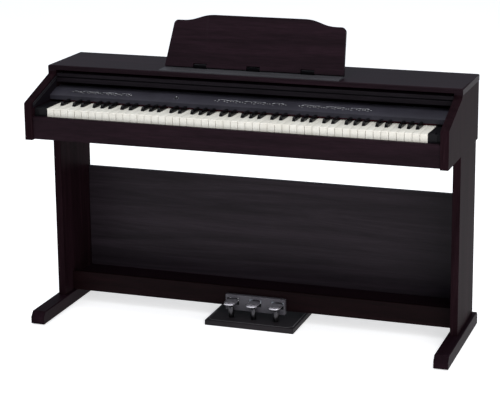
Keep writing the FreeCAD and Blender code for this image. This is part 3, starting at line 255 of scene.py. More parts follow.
WOOD_X = rosewood("lengthwise", "x")
WOOD_Y = rosewood("front_to_back", "y", level=0.02)
WOOD_Z = rosewood("upright", "z", tone=(0.0112, 0.005, 0.0068), level=0.004, rough=0.4)
WOOD_RAIL = rosewood("cover_rail", "x", tone=(0.0092, 0.0070, 0.0094), level=0.06)
# Painted shade: this copy of the rosewood is kept about half as bright as the other boards, for the shade the
# low beam sits in.
WOOD_BEAM_PAINTED_SHADE = rosewood("beam", "x", tone=(0.0058, 0.0018, 0.0024), level=0.04)
WOOD_REAR = rosewood("rear_board", "x", tone=(0.0178, 0.0134, 0.0172), level=0.09, streak=0.4)
BASE_BLACK = moulded("base_black", (0.016, 0.0135, 0.0155), rough=0.6, grain=500, strength=0.5, level=0.1)
# Painted highlight: pale grey for the light line along the rim of the pedal board.
RIM_GREY_PAINTED_HIGHLIGHT = moulded("rim_grey_painted_highlight", (0.11, 0.105, 0.11), rough=0.5, grain=800, level=0.3)
PANEL_BLACK = moulded("panel_black", (0.027, 0.0255, 0.034), rough=0.45, level=0.18)
BLOCK_BLACK = moulded("block_black", (0.0036, 0.0032, 0.0042), rough=0.35, level=0.1)
# Black for the rest's hinges, and painted shade at the bottom of the cover rail's groove.
DEEP_BLACK_AND_PAINTED_SHADE = moulded("deep_black_and_painted_shade", (0.0016, 0.0014, 0.002), rough=0.6, level=0.03, grain=900)
LEDGE_GREY = moulded("ledge_grey", (0.026, 0.025, 0.029), rough=0.42, level=0.25, grain=900, strength=0.2)
LINER_BLACK = moulded("liner_black", (0.006, 0.0045, 0.0065), rough=0.5, level=0.04, grain=700, strength=0.3)
SOFT_BLACK = moulded("soft_black", (0.008, 0.008, 0.009), rough=0.55, level=0.25, grain=900, strength=0.3)
BUTTON_GREY = moulded("button_grey", (0.022, 0.022, 0.025), rough=0.5, level=0.35)
KEY_BLACK = moulded("black_key_plastic", (0.002, 0.0018, 0.0021), rough=0.2, level=0.16, grain=1800,
                    strength=0.06)
KEY_WHITE = ivory()
RED_FELT_PAINTED_SHADE = felt()
PRINT = moulded("printed_marks", (0.62, 0.62, 0.64), rough=0.6, grain=3000, strength=0.05)
LAMP_CLEAR = moulded("lamp_clear", (0.8, 0.8, 0.78), rough=0.15, level=0.6)
NICKEL = metal("satin_nickel", (0.7, 0.68, 0.73), rough=0.4, axis="y")
STEEL = metal("zinc_steel", (0.5, 0.51, 0.53), rough=0.38)
ALUMINIUM = metal("aluminium", (0.55, 0.56, 0.58), rough=0.42, axis="y")
GREY_PAINT = moulded("grey_paint", (0.062, 0.058, 0.068), rough=0.4, level=0.3, grain=1000, strength=0.3)
BLACK_PAINT = moulded("black_paint", (0.012, 0.012, 0.013), rough=0.4, level=0.4, grain=1000, strength=0.3)
POST_METAL = metal("dark_post_metal", (0.075, 0.072, 0.078), rough=0.28, axis="z")
RUBBER = rubber()
BOARD_GREEN = circuit_board()
CLOTH = cloth()

# ---------------------------------------------------------------- mesh helpers


def finish_piece(name, mesh_data, material, body, node=None):
    """Turn a bmesh into a shaded piece on a body, in place of a node if one is named."""
    bmesh.ops.recalc_face_normals(mesh_data, faces=mesh_data.faces)
    mesh = bpy.data.meshes.new(name)
    mesh_data.to_mesh(mesh)
    mesh_data.free()
    mesh.materials.append(material)
    piece = bpy.data.objects.new(name, mesh)
    bpy.context.scene.collection.objects.link(piece)
    for face in mesh.polygons:
        face.use_smooth = True
    smooth_by_angle(piece)
    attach(piece, body)
    if node:
        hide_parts(node)


def smooth_by_angle(piece, degrees=32):
    """Mark the sharp edges of a smooth-shaded mesh."""
    shape = bmesh.new()
    shape.from_mesh(piece.data)
    for edge in shape.edges:
        edge.smooth = len(edge.link_faces) == 2 and edge.calc_face_angle(0) < math.radians(degrees)
    shape.to_mesh(piece.data)
    shape.free()


def soften(node, width):
    """Round a CAD node's corners with modifiers; its own mesh stays as it is."""
    piece = NODES[node]
    weld = piece.modifiers.new("weld", "WELD")
    weld.merge_threshold = 0.00001
    bevel = piece.modifiers.new("round", "BEVEL")
    bevel.width = width
    bevel.segments = 2
    bevel.limit_method = "ANGLE"
    bevel.angle_limit = math.radians(40)
    bevel.harden_normals = True
    bevel.use_clamp_overlap = True


def dress(material, *nodes, width=0.0):
    """Give CAD nodes a material, and rounded edges when a width is given."""
    for node in nodes:
        piece = NODES[node]
        piece.data.materials.clear()
        piece.data.materials.append(material)
        if width:
            soften(node, width)


def prism(shape, outline, low, high):
    """Add a closed upright prism over a flat outline; returns its top and bottom faces."""
    bottom = [shape.verts.new((x, y, low)) for x, y in outline]
    top = [shape.verts.new((x, y, high)) for x, y in outline]
    floor = shape.faces.new(list(reversed(bottom)))
    lid = shape.faces.new(top)
    count = len(outline)
    for index in range(count):
        after = (index + 1) % count
        shape.faces.new((bottom[index], bottom[after], top[after], top[index]))
    return lid, floor


def bevel_edges(shape, edges, width, segments=2):
    bmesh.ops.bevel(shape, geom=edges, offset=width, segments=segments, profile=0.5, affect="EDGES",
                    clamp_overlap=True)


def bar(shape, low, high, width=0.0, segments=2):
    """Add a block between two corners, with its edges rounded when a width is given."""
    outline = [(low[0], low[1]), (high[0], low[1]), (high[0], high[1]), (low[0], high[1])]
    lid, floor = prism(shape, outline, low[2], high[2])
    if width:
        edges = []
        for vert in list(lid.verts) + list(floor.verts):
            edges += [edge for edge in vert.link_edges if edge not in edges]
        bevel_edges(shape, edges, width, segments)


def ring_stack(shape, rings, closed_ends=True):
    """Skin a list of equally long vertex rings into one tube."""
    rows = [[shape.verts.new(point) for point in ring] for ring in rings]
    count = len(rows[0])
    for first, second in zip(rows, rows[1:]):
        for index in range(count):
            after = (index + 1) % count
            shape.faces.new((first[index], first[after], second[after], second[index]))
    if closed_ends:
        shape.faces.new(list(reversed(rows[0])))
        shape.faces.new(rows[-1])


def disc_rings(centre, profile, sides=32, along="z"):
    """Rings of a turned shape about an upright or lengthwise axis; profile holds (radius, height)."""
    rings = []
    for radius, height in profile:
        ring = []
        for index in range(sides):
            turn = 2 * math.pi * index / sides
            across, up = radius * math.cos(turn), radius * math.sin(turn)
            if along == "z":
                ring.append((centre[0] + across, centre[1] + up, centre[2] + height))
            elif along == "y":
                ring.append((centre[0] + across, centre[1] + height, centre[2] - up))
            else:
                ring.append((centre[0] + height, centre[1] + across, centre[2] + up))
        rings.append(ring)
    return rings


def squared(value, power):
    """Push a sine or cosine towards 1 or -1, which makes a circle a rounded rectangle."""
    return abs(value) ** power * math.copysign(1, value)


def metres(profile):
    """A profile of (radius, height) written in millimetres, as metres."""
    return [(radius * MM, height * MM) for radius, height in profile]


def absorb(shape, part, matrix):
    """Place a bmesh by a matrix and add it to another one."""
    bmesh.ops.transform(part, matrix=matrix, verts=part.verts)
    mesh = bpy.data.meshes.new("stock")
    part.to_mesh(mesh)
    part.free()
    shape.from_mesh(mesh)
    bpy.data.meshes.remove(mesh)


def joint_called(name):
    return next(item for item in frame["joints"] if item["name"] == name)


# ---------------------------------------------------------------- cabinet and stand

def dress_boards():
    dress(WOOD_X, "top_board", "key_slip", "cabinet_back", "key_bed", "beam_shelf", "music_rest",
          width=1.2 * MM)
    dress(WOOD_RAIL, "cover_front_rail", width=1.2 * MM)
    dress(WOOD_BEAM_PAINTED_SHADE, "pedal_beam", width=1.2 * MM)
    dress(WOOD_REAR, "rear_board", width=1.2 * MM)
    dress(BASE_BLACK, "pedal_base", width=1.2 * MM)
    dress(WOOD_X, "cover_board", width=0.8 * MM)
    dress(WOOD_Z, "left_cheek", "right_cheek", "left_leg", "right_leg", width=0.7 * MM)
    dress(WOOD_Y, "left_foot", "right_foot", width=2.0 * MM)
    dress(BLOCK_BLACK, "key_blocks", width=0.6 * MM)
    dress(PANEL_BLACK, "control_panel", width=0.3 * MM)
    dress(SOFT_BLACK, "rest_prop_clips", "headphone_sockets", "rear_sockets", width=0.4 * MM)
    dress(DEEP_BLACK_AND_PAINTED_SHADE, "rest_hinges", width=0.4 * MM)
    dress(SOFT_BLACK, "key_frame")
    dress(GREY_PAINT, "pedal_cover", width=0.8 * MM)
    dress(BLACK_PAINT, "cover_brackets", "speakers", width=0.4 * MM)
    dress(STEEL, "key_shaft", "cover_carriage", "rest_prop", "pedal_shaft")
    dress(STEEL, "leg_brackets", "pedal_chassis", width=0.4 * MM)
    dress(ALUMINIUM, "cover_channels", width=0.2 * MM)
    dress(RUBBER, "foot_pads", "key_contact_strip", width=0.5 * MM)
    dress(POST_METAL, "pedal_stop_posts", width=0.6 * MM)
    dress(BOARD_GREEN, "main_board", "panel_board")


# ---------------------------------------------------------------- keyboard

WHITE_COUNT = 52
NAMES = "CDEFGAB"
FIRST = NAMES.index("A")
SHARPS_AFTER = "CDFGA"
MIDDLE = (23, 24, 25)
SHARP_SLOTS = {"C": (1, 5), "D": (3, 5), "F": (1, 7), "G": (3, 7), "A": (5, 7)}
KEY_GAP = 1.0 * MM
SIDE_GAP = 1.2 * MM
PANEL_GAP = 2 * MM
HEAD_GAP = 1.0 * MM


def key_name(index):
    return NAMES[(FIRST + index) % 7]


class Keyboard:
    """Where the keys are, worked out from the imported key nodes."""

    def __init__(self):
        low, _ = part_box("white_keys_bass")
        _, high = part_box("white_keys_treble")
        self.left = low.x - KEY_GAP / 2
        self.pitch = (high.x - low.x + KEY_GAP) / WHITE_COUNT
        self.front = low.y
        self.back = high.y
        self.base = low.z
        self.top = high.z
        sharp_low, sharp_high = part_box("black_keys_bass")
        self.sharp_front = sharp_low.y
        self.crest = sharp_high.z
        self.sharp_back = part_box("control_panel")[0].y - PANEL_GAP
        single_low, single_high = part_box("key_c_sharp_middle")
        self.sharp_width = single_high.x - single_low.x

    def x(self, pitches):
        return self.left + pitches * self.pitch

    def sharp_slot(self, index):
        """Left and right, in pitches, of the slot behind the heads of a white key and the next one."""
        number, shares = SHARP_SLOTS[key_name(index)]
        place = NAMES.index(key_name(index))
        start = index - place if shares == 5 else index - (place - 3)
        share = (3 if shares == 5 else 4) / shares
        return start + number * share, start + (number + 1) * share


KEYS = Keyboard()
HEAD_BACK = KEYS.sharp_front - HEAD_GAP
LIP = 1.1 * MM              # how far a white key's plate stands out over its body
PLATE = 2.6 * MM
BODY_INSET = 0.25 * MM
WHITE_ROUND = 0.75 * MM
CROWN_LEAN = 1.05 * MM      # how far each side of a black key leans in
SHARP_SINK = 0.8 * MM       # a black key's crown starts this far below the white keys
NOSE_HEIGHT = 0.6 * MM
CROWN_ROUND = 1.5 * MM
CROWN_RISE = ((0.0, 0.0), (0.35, 0.0), (2.2, 0.52), (4.4, 0.86), (6.4, 0.97), (9.0, 1.0))


def add_white_key(shape, index):
    """One white key: a top plate with a small front lip over a slightly narrower body."""
    left = KEYS.x(index) + KEY_GAP / 2
    right = KEYS.x(index + 1) - KEY_GAP / 2
    tail_left, tail_right = left, right
    if index > 0 and key_name(index - 1) in SHARPS_AFTER:
        tail_left = KEYS.x(KEYS.sharp_slot(index - 1)[1]) - SIDE_GAP / 2
    if index < WHITE_COUNT - 1 and key_name(index) in SHARPS_AFTER:
        tail_right = KEYS.x(KEYS.sharp_slot(index)[0]) + SIDE_GAP / 2
    for inset, front, low, high in ((0.0, 0.0, KEYS.top - PLATE, KEYS.top),
                                    (BODY_INSET, LIP, KEYS.base, KEYS.top - PLATE)):
        outline = [(left + inset, KEYS.front + front), (right - inset, KEYS.front + front),
                   (right - inset, HEAD_BACK)]
        if tail_right < right:
            outline.append((tail_right - inset, HEAD_BACK))
        outline.append((tail_right - inset, KEYS.back))
        outline.append((tail_left + inset, KEYS.back))
        if tail_left > left:
            outline.append((tail_left + inset, HEAD_BACK))
        outline.append((left + inset, HEAD_BACK))
        lid, _ = prism(shape, outline, low, high)
        if high == KEYS.top:
            corners = list(lid.edges)
            for vert in lid.verts:
                if abs(vert.co.y - KEYS.front) < 1e-6:
                    corners += [edge for edge in vert.link_edges if edge not in corners]
            bevel_edges(shape, corners, WHITE_ROUND, 3)


def add_black_key(shape, index):
    """One black key: a stem, and a crown with leaning sides, a sloping nose and rounded ridges."""
    left, right = KEYS.sharp_slot(index)
    middle = KEYS.x((left + right) / 2)
    half = KEYS.sharp_width / 2
    crown = half - CROWN_LEAN
    low = KEYS.top - SHARP_SINK
    bar(shape, (middle - half, KEYS.sharp_front + NOSE_HEIGHT, KEYS.base), (middle + half, KEYS.back, low))
    rise = [(KEYS.sharp_front + depth * MM, lift) for depth, lift in CROWN_RISE]
    rise += [(KEYS.sharp_back - 1.2 * MM, 1.0), (KEYS.sharp_back, 0.9)]
    rings = []
    for y, lift in rise:
        tall = max((KEYS.crest - low) * lift, NOSE_HEIGHT)
        top_half = half + (crown - half) * tall / (KEYS.crest - low)
        reach = min(CROWN_ROUND, tall * 0.8)
        ring = [(middle - half, y, low), (middle + half, y, low)]
        for side, start in ((1, 0.0), (-1, math.pi / 2)):
            for step in range(5):
                turn = start + math.pi / 2 * step / 4
                ring.append((middle + side * (top_half - reach) + reach * math.cos(turn), y,
                             low + tall - reach + reach * math.sin(turn)))
        rings.append(ring)
    ring_stack(shape, rings)


def make_keys():
    """A mesh for each key node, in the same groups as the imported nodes."""
    sharps = [index for index in range(WHITE_COUNT - 1) if key_name(index) in SHARPS_AFTER]
    spans = {"bass": range(0, MIDDLE[0]), "treble": range(MIDDLE[-1] + 1, WHITE_COUNT)}
    for side, span in spans.items():
        shape = bmesh.new()
        for index in span:
            add_white_key(shape, index)
        finish_piece("white_keys_%s_shaped" % side, shape, KEY_WHITE, side + "_naturals",
                     "white_keys_" + side)
        shape = bmesh.new()
        for index in sharps:
            if index in span:
                add_black_key(shape, index)
        finish_piece("black_keys_%s_shaped" % side, shape, KEY_BLACK, side + "_sharps",
                     "black_keys_" + side)
    for index in MIDDLE:
        letter = key_name(index).lower()
        shape = bmesh.new()
        add_white_key(shape, index)
        finish_piece("key_%s_shaped" % letter, shape, KEY_WHITE, "key_" + letter,
                     "key_%s_middle" % letter)
        if index in sharps:
            shape = bmesh.new()
            add_black_key(shape, index)
            finish_piece("key_%s_sharp_shaped" % letter, shape, KEY_BLACK, "key_%s_sharp" % letter,
                         "key_%s_sharp_middle" % letter)


def make_felt():
    """The felt strip as a soft rounded bar with a matted, slightly uneven front."""
    low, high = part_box("key_felt")
    shape = bmesh.new()
    steps, fuzz_share, fuzz_rate = 260, 0.06, 160
    rings = []
    for step in range(steps + 1):
        x = low.x + (high.x - low.x) * step / steps
        ring = []
        for corner in range(12):
            turn = 2 * math.pi * corner / 12
            fuzz = 1 - fuzz_share * (1 + noise.noise(Vector((x * fuzz_rate, turn * 2, 0))))
            y = (low.y + high.y) / 2 + squared(math.cos(turn), 0.5) * (high.y - low.y) / 2 * fuzz
            z = (low.z + high.z) / 2 + squared(math.sin(turn), 0.5) * (high.z - low.z) / 2 * fuzz
            ring.append((x, y, z))
        rings.append(ring)
    ring_stack(shape, rings)
    finish_piece("key_felt_strip", shape, RED_FELT_PAINTED_SHADE, "cabinet", "key_felt")


# ---------------------------------------------------------------- control panel

class PanelFace:
    """The sloping face of the control panel: a flat frame with X along it, Y up the slope and Z out."""

    def __init__(self):
        joint = joint_called("volume_turn")
        axis = Vector(joint["axis"]).normalized()
        self.row = Vector((0.0, joint["pos_m"][1], joint["pos_m"][2]))
        up = axis.cross(Vector((1, 0, 0))).normalized()
        if up.z < 0:
            up = -up
        self.up, self.out = up, axis
        self.knob_x = joint["pos_m"][0]

    def matrix(self):
        """Turns flat coordinates about the control row into the piano's frame."""
        made = Matrix.Identity(4)
        for row in range(3):
            made[row][0] = (1, 0, 0)[row]
            made[row][1] = self.up[row]
            made[row][2] = self.out[row]
            made[row][3] = self.row[row]
        return made


FACE = PanelFace()
MARK_BASE = 0.01 * MM
MARK_THICK = 0.12 * MM


def lay(shape):
    """Put a mesh made flat about the control row onto the panel's slope."""
    bmesh.ops.transform(shape, matrix=FACE.matrix(), verts=shape.verts)


CAP_WIDTH = 8.4 * MM
CAP_HALF_X = 4.1 * MM
CAP_HALF_Y = 1.8 * MM
# Height in millimetres, and the shares of the half width and half depth there.
CAP_PROFILE = ((-3.6, 1.0, 1.0), (0.55, 1.0, 1.0), (0.95, 0.95, 0.9), (1.15, 0.84, 0.72),
               (1.05, 0.6, 0.5), (0.95, 0.2, 0.2))
POWER_PROFILE = ((4.0, -3.6), (4.0, 0.7), (3.7, 1.1), (3.2, 1.2), (2.4, 0.95), (0.6, 0.85))
ROWS = (("left_buttons", "left_row", 8), ("centre_buttons", "centre_row", 8),
        ("right_buttons", "right_row", 9))


def button_places(node, count):
    """Where a row's caps are along X, spread evenly over the node's box."""
    low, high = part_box(node)
    first, last = low.x + CAP_WIDTH / 2, high.x - CAP_WIDTH / 2
    return [first + (last - first) * index / (count - 1) for index in range(count)]


def add_cap(shape, x):
    """A button cap with rounded corners and a shallow dished top."""
    rings = []
    for height, share_x, share_y in CAP_PROFILE:
        ring = []
        for corner in range(24):
            turn = 2 * math.pi * corner / 24
            across, along = squared(math.cos(turn), 0.45), squared(math.sin(turn), 0.45)
            ring.append((x + across * CAP_HALF_X * share_x, along * CAP_HALF_Y * share_y, height * MM))
        rings.append(ring)
    ring_stack(shape, rings)


def make_buttons():
    for node, body, count in ROWS:
        shape = bmesh.new()
        for x in button_places(node, count):
            add_cap(shape, x)
        lay(shape)
        finish_piece(node + "_caps", shape, BUTTON_GREY, body, node)
    low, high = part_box("power_button")
    middle = (low.x + high.x) / 2
    shape = bmesh.new()
    ring_stack(shape, disc_rings((middle, 0, 0), metres(POWER_PROFILE)))
    lay(shape)
    finish_piece("power_button_cap", shape, BUTTON_GREY, "power", "power_button")


# Radius and height in millimetres, and how much of the fluting shows there.
KNOB_PROFILE = ((2.7, -4.6, 0), (2.7, 0.3, 0), (5.35, 0.45, 1), (5.3, 3.0, 1), (5.0, 3.8, 0.6),
                (4.4, 4.25, 0), (1.0, 4.35, 0))
KNOB_SIDES = 96
FLUTES = 24
FLUTE_DEPTH = 0.22
POINTER_PROFILE = ((1.5, 4.1), (1.5, 4.36), (1.2, 4.42))
POINTER_OFFSET = 2.2 * MM


def make_knob():
    """The volume knob: fluted side, rounded shoulder, and a small pointer dot."""
    shape = bmesh.new()
    rings = []
    for radius, height, flute in KNOB_PROFILE:
        ring = []
        for index in range(KNOB_SIDES):
            turn = 2 * math.pi * index / KNOB_SIDES
            reach = (radius - FLUTE_DEPTH * flute * (1 + math.cos(FLUTES * turn)) / 2) * MM
            ring.append((FACE.knob_x + reach * math.cos(turn), reach * math.sin(turn), height * MM))
        rings.append(ring)
    ring_stack(shape, rings)
    lay(shape)
    finish_piece("volume_knob_fluted", shape, BUTTON_GREY, "volume", "volume_knob")
    shape = bmesh.new()
    ring_stack(shape, disc_rings((FACE.knob_x, POINTER_OFFSET, 0), metres(POINTER_PROFILE), 20))
    lay(shape)
    finish_piece("volume_knob_pointer", shape, PRINT, "volume")


def add_mark(shape, x, v, width, height):
    """A thin printed bar on the panel's face, its corners rounded off."""
    half_x, half_y = width / 2, height / 2
    cut = min(half_x, half_y) * 0.5
    outline = [(x - half_x + cut, v - half_y), (x + half_x - cut, v - half_y), (x + half_x, v - half_y + cut),
               (x + half_x, v + half_y - cut), (x + half_x - cut, v + half_y), (x - half_x + cut, v + half_y),
               (x - half_x, v + half_y - cut), (x - half_x, v - half_y + cut)]
    prism(shape, outline, MARK_BASE, MARK_BASE + MARK_THICK)


LAMP_PROFILE = ((1.25, 0.02), (1.2, 0.35), (0.4, 0.55))


def add_lamp(shape, x, v):
    """A small domed lamp on the panel's face."""
    ring_stack(shape, disc_rings((x, v, 0), metres(LAMP_PROFILE), 12))


LAMP_ROW = 0.8 * MM         # the rows' places up the slope, from the buttons' centre line
UPPER_PRINT = 5.2 * MM
LOWER_PRINT = -5.0 * MM
RULE_ROW = 8.6 * MM
RULE_OVERHANG = 5 * MM
GROUP = 3                   # buttons under one rule
DIAL_RADIUS = 8.2 * MM
DIAL_SWEEP = 150
DIAL_STEP = 30
POWER_PRINT = 6.4 * MM
POWER_LAMP_ROW = 1.5 * MM


def make_marks():
    """Generic printed bars at the buttons, rules that group them, dial ticks and small clear lamps."""
    marks = bmesh.new()
    lamps = bmesh.new()
    spread = random.Random(11)
    for node, _, count in ROWS:
        places = button_places(node, count)
        pitch = places[1] - places[0]
        for index, x in enumerate(places):
            add_mark(marks, x, UPPER_PRINT, spread.choice((4, 6, 8)) * MM, 1.1 * MM)
            add_mark(marks, x, LOWER_PRINT, spread.choice((3, 4, 6)) * MM, 0.8 * MM)
            for share in (-0.36, 0.36) if index % GROUP else (-0.36,):
                add_lamp(lamps, x + pitch * share, LAMP_ROW)
        for start in range(0, count - 1, GROUP):
            left, right = places[start], places[min(start + GROUP - 1, count - 1)]
            add_mark(marks, (left + right) / 2, RULE_ROW, right - left + RULE_OVERHANG, 0.45 * MM)
    for degrees in range(-DIAL_SWEEP, DIAL_SWEEP + 1, DIAL_STEP):
        turn = math.radians(degrees) + math.pi / 2
        add_mark(marks, FACE.knob_x + DIAL_RADIUS * math.cos(turn), DIAL_RADIUS * math.sin(turn), 0.8 * MM,
                 0.8 * MM)
    power = sum(corner.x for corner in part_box("power_button")) / 2
    add_mark(marks, power, POWER_PRINT, 7 * MM, 1.1 * MM)
    for shift in (-9, 9, 15):
        add_lamp(lamps, power + shift * MM, POWER_LAMP_ROW)
    for shape, name, material in ((marks, "panel_printed_marks", PRINT), (lamps, "panel_lamps", LAMP_CLEAR)):
        lay(shape)
        finish_piece(name, shape, material, "cabinet")


# ---------------------------------------------------------------- pedals

PEDALS = (("soft", "soft_pedal"), ("sostenuto", "sostenuto_pedal"), ("damper", "damper_pedal"))
# Depths of the lever's cross sections from its tip, in millimetres; one more is at the shaft.
PEDAL_STEPS = (0.0, 0.5, 1.4, 2.8, 4.6, 7, 10, 14, 18, 24, 32, 42, 50, 56, 60, 66, 80, 120)
PEDAL_CORNERS = 28
NOSE_RUN, DROOP_RUN, CHIN_RUN = 18, 14, 5     # how far the tip's rounding reaches back, in millimetres
BLUNT = 0.36                # the tip's width, as a share of the foot plate's
DROOP = 3.4 * MM
CHIN = 1.6 * MM
CROWN = 0.7 * MM
PLATE_LENGTH = 60 * MM
WAIST_LEAD, WAIST_RUN = 12 * MM, 18 * MM
NECK = 8 * MM
LEVER_THICK = 9 * MM
LEVER_RISE = 7 * MM         # the lever's top over the shaft's centre
EYE_RADIUS = 8.5 * MM
EYE_BORE = 4.1 * MM
EYE_ROUND = 0.7 * MM


def make_pedal(body, node):
    """A pedal lever: a crowned, rounded foot plate that narrows to a stem and an eye round the shaft."""
    low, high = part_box(node)
    middle = (low.x + high.x) / 2
    half = (high.x - low.x) / 2
    _, pivot_y, pivot_z = joint_called(body + "_press")["pos_m"]
    top = pivot_z + LEVER_RISE
    shape = bmesh.new()
    rings = []
    for step in (*PEDAL_STEPS, (pivot_y - low.y) / MM):
        depth = step * MM
        nose = 1 - min(1.0, step / NOSE_RUN)
        reach = half * (BLUNT + (1 - BLUNT) * math.sqrt(max(0.0, 1 - nose ** 2)))
        if depth > PLATE_LENGTH - WAIST_LEAD:
            blend = min(1.0, (depth - PLATE_LENGTH + WAIST_LEAD) / WAIST_RUN)
            blend = blend * blend * (3 - 2 * blend)
            reach = half + (NECK - half) * blend
        upper = top - DROOP * (1 - min(1.0, step / DROOP_RUN)) ** 2
        lower = top - LEVER_THICK + CHIN * (1 - min(1.0, step / CHIN_RUN)) ** 2
        ring = []
        for corner in range(PEDAL_CORNERS):
            turn = 2 * math.pi * corner / PEDAL_CORNERS
            across, up = squared(math.cos(turn), 0.35), squared(math.sin(turn), 0.5)
            crown = CROWN * (1 - across * across) if up > 0 else 0.0
            z = (upper + lower) / 2 + up * (upper - lower - CROWN) / 2 + crown
            ring.append((middle + across * reach, low.y + depth, z))
        rings.append(ring)
    ring_stack(shape, rings)
    rim = EYE_RADIUS - EYE_ROUND
    profile = [(EYE_BORE, -NECK), (rim, -NECK), (EYE_RADIUS, EYE_ROUND - NECK),
               (EYE_RADIUS, NECK - EYE_ROUND), (rim, NECK), (EYE_BORE, NECK), (EYE_BORE, -NECK)]
    ring_stack(shape, disc_rings((middle, pivot_y, pivot_z), profile, 40, "x"), closed_ends=False)
    bmesh.ops.remove_doubles(shape, verts=shape.verts, dist=1e-6)
    finish_piece(node + "_shaped", shape, NICKEL, body, node)


def make_base_rim_highlight():
    """A line inlaid round the top of the board under the pedals, close to its edge; it stands slightly proud
    as a real rim, and its pale grey is a painted highlight.
    """
    low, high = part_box("pedal_base")
    inset, wide, lift, sunk = 7 * MM, 2.4 * MM, 0.5 * MM, -0.3 * MM
    left, right = low.x + inset, high.x - inset
    front, back = low.y + inset, high.y - inset
    corner = 14 * MM
    path = [(left, back), (left, front + corner), (left + corner, front), (right - corner, front),
            (right, front + corner), (right, back)]
    shape = bmesh.new()
    rings = []
    for index, point in enumerate(path):
        before = Vector(path[max(index - 1, 0)])
        after = Vector(path[min(index + 1, len(path) - 1)])
        along = (after - before).normalized()
        side = Vector((-along.y, along.x)) * wide / 2
        ring = []
        for share, height in ((-1, sunk), (1, sunk), (1, lift * 0.6), (0.5, lift), (-0.5, lift),
                              (-1, lift * 0.6)):
            ring.append((point[0] + side.x * share, point[1] + side.y * share, high.z + height))
        rings.append(ring)
    ring_stack(shape, rings)
    finish_piece("pedal_base_rim_highlight", shape, RIM_GREY_PAINTED_HIGHLIGHT, "cabinet")


# ---------------------------------------------------------------- small fittings

def add_screw(shape, centre, radius, facing):
    """A pan-head screw with a raised cross on its head, standing out along facing."""
    head = bmesh.new()
    profile = [(radius, 0.0), (radius, radius * 0.25), (radius * 0.86, radius * 0.5),
               (radius * 0.55, radius * 0.62)]
    ring_stack(head, disc_rings((0, 0, 0), profile, 24))
    long, thin = radius * 0.45, radius * 0.11
    for half_x, half_y in ((long, thin), (thin, long)):
        bar(head, (-half_x, -half_y, radius * 0.55), (half_x, half_y, radius * 0.66))
    turn = Vector((0, 0, 1)).rotation_difference(Vector(facing)).to_matrix().to_4x4()
    absorb(shape, head, Matrix.Translation(Vector(centre)) @ turn)


def make_back_screws():
    """Two rows of screws along the cabinet's back."""
    low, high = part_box("cabinet_back")
    count, end_inset, low_inset, high_inset, radius = 9, 30 * MM, 10 * MM, 14 * MM, 3.6 * MM
    shape = bmesh.new()
    for index in range(count):
        x = low.x + end_inset + (high.x - low.x - 2 * end_inset) * index / (count - 1)
        for z in (low.z + low_inset, high.z - high_inset):
            add_screw(shape, (x, high.y, z), radius, (0, 1, 0))
    finish_piece("cabinet_back_screws", shape, STEEL, "cabinet")


def make_grilles():
    """Ringed speaker grilles over cloth, below the key bed."""
    low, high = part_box("speaker_grilles")
    radius = (high.y - low.y) / 2
    rim, wire, ring_pitch, ring_count, spoke_count = 1.6 * MM, 0.8 * MM, 6.2 * MM, 9, 6
    spoke_half = 0.7 * MM
    back = high.z - 0.6 * MM
    frames = bmesh.new()
    cloths = bmesh.new()
    for x in (low.x + radius, high.x - radius):
        centre = (x, (low.y + high.y) / 2, 0)
        for ring in range(ring_count):
            reach = radius - rim - ring * ring_pitch
            wide = rim if ring == 0 else wire
            slope = low.z + 0.3 * MM
            profile = [(reach - wide, back), (reach - wide, slope), (reach, low.z), (reach + wide, slope),
                       (reach + wide, back), (reach - wide, back)]
            ring_stack(frames, disc_rings(centre, profile, 64), closed_ends=False)
        for spoke in range(spoke_count):
            arm = bmesh.new()
            end = radius - 1.5 * MM
            bar(arm, (-end, -spoke_half, low.z + 0.4 * MM), (end, spoke_half, back), 0.2 * MM, 1)
            absorb(frames, arm, Matrix.Translation(Vector(centre))
                   @ Matrix.Rotation(math.pi * spoke / spoke_count, 4, "Z"))
        cloth_radius = radius - 2 * MM
        profile = [(cloth_radius, high.z - 0.5 * MM), (cloth_radius, high.z - 0.1 * MM)]
        ring_stack(cloths, disc_rings(centre, profile, 64))
    bmesh.ops.remove_doubles(frames, verts=frames.verts, dist=1e-7)
    finish_piece("speaker_grille_frames", frames, SOFT_BLACK, "cabinet",
                 "speaker_grilles")
    finish_piece("speaker_grille_cloth", cloths, CLOTH, "cabinet")


def make_bolts():
    """Bracket bolts with washers and six-sided heads."""
    low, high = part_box("bracket_bolts")
    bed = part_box("key_bed")[0].z
    bracket_low, bracket_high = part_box("leg_brackets")
    plate, row_inset, arm_offset, wall_rise = 3 * MM, 6 * MM, 27 * MM, 12 * MM
    washer = ((3.0, 0.0), (6.8, 0.0), (6.8, 0.9), (3.0, 0.9))
    head = ((5.6, 0.9), (5.6, 3.4), (4.9, 4.0))
    shape = bmesh.new()
    for side in (-1, 1):
        wall = (bracket_high.x - plate) * side
        up_x = (bracket_high.x - arm_offset) * side
        for y in (low.y + row_inset, high.y - row_inset):
            for centre, along, out in (((up_x, y, bed - plate), "z", -1),
                                       ((wall, y, bracket_low.z + wall_rise), "x", -side)):
                for profile, sides in ((washer, 32), (head, 6)):
                    turned = [(radius, height * out) for radius, height in metres(profile)]
                    ring_stack(shape, disc_rings(centre, turned, sides, along))
    finish_piece("bracket_bolts_shaped", shape, STEEL, "cabinet", "bracket_bolts")


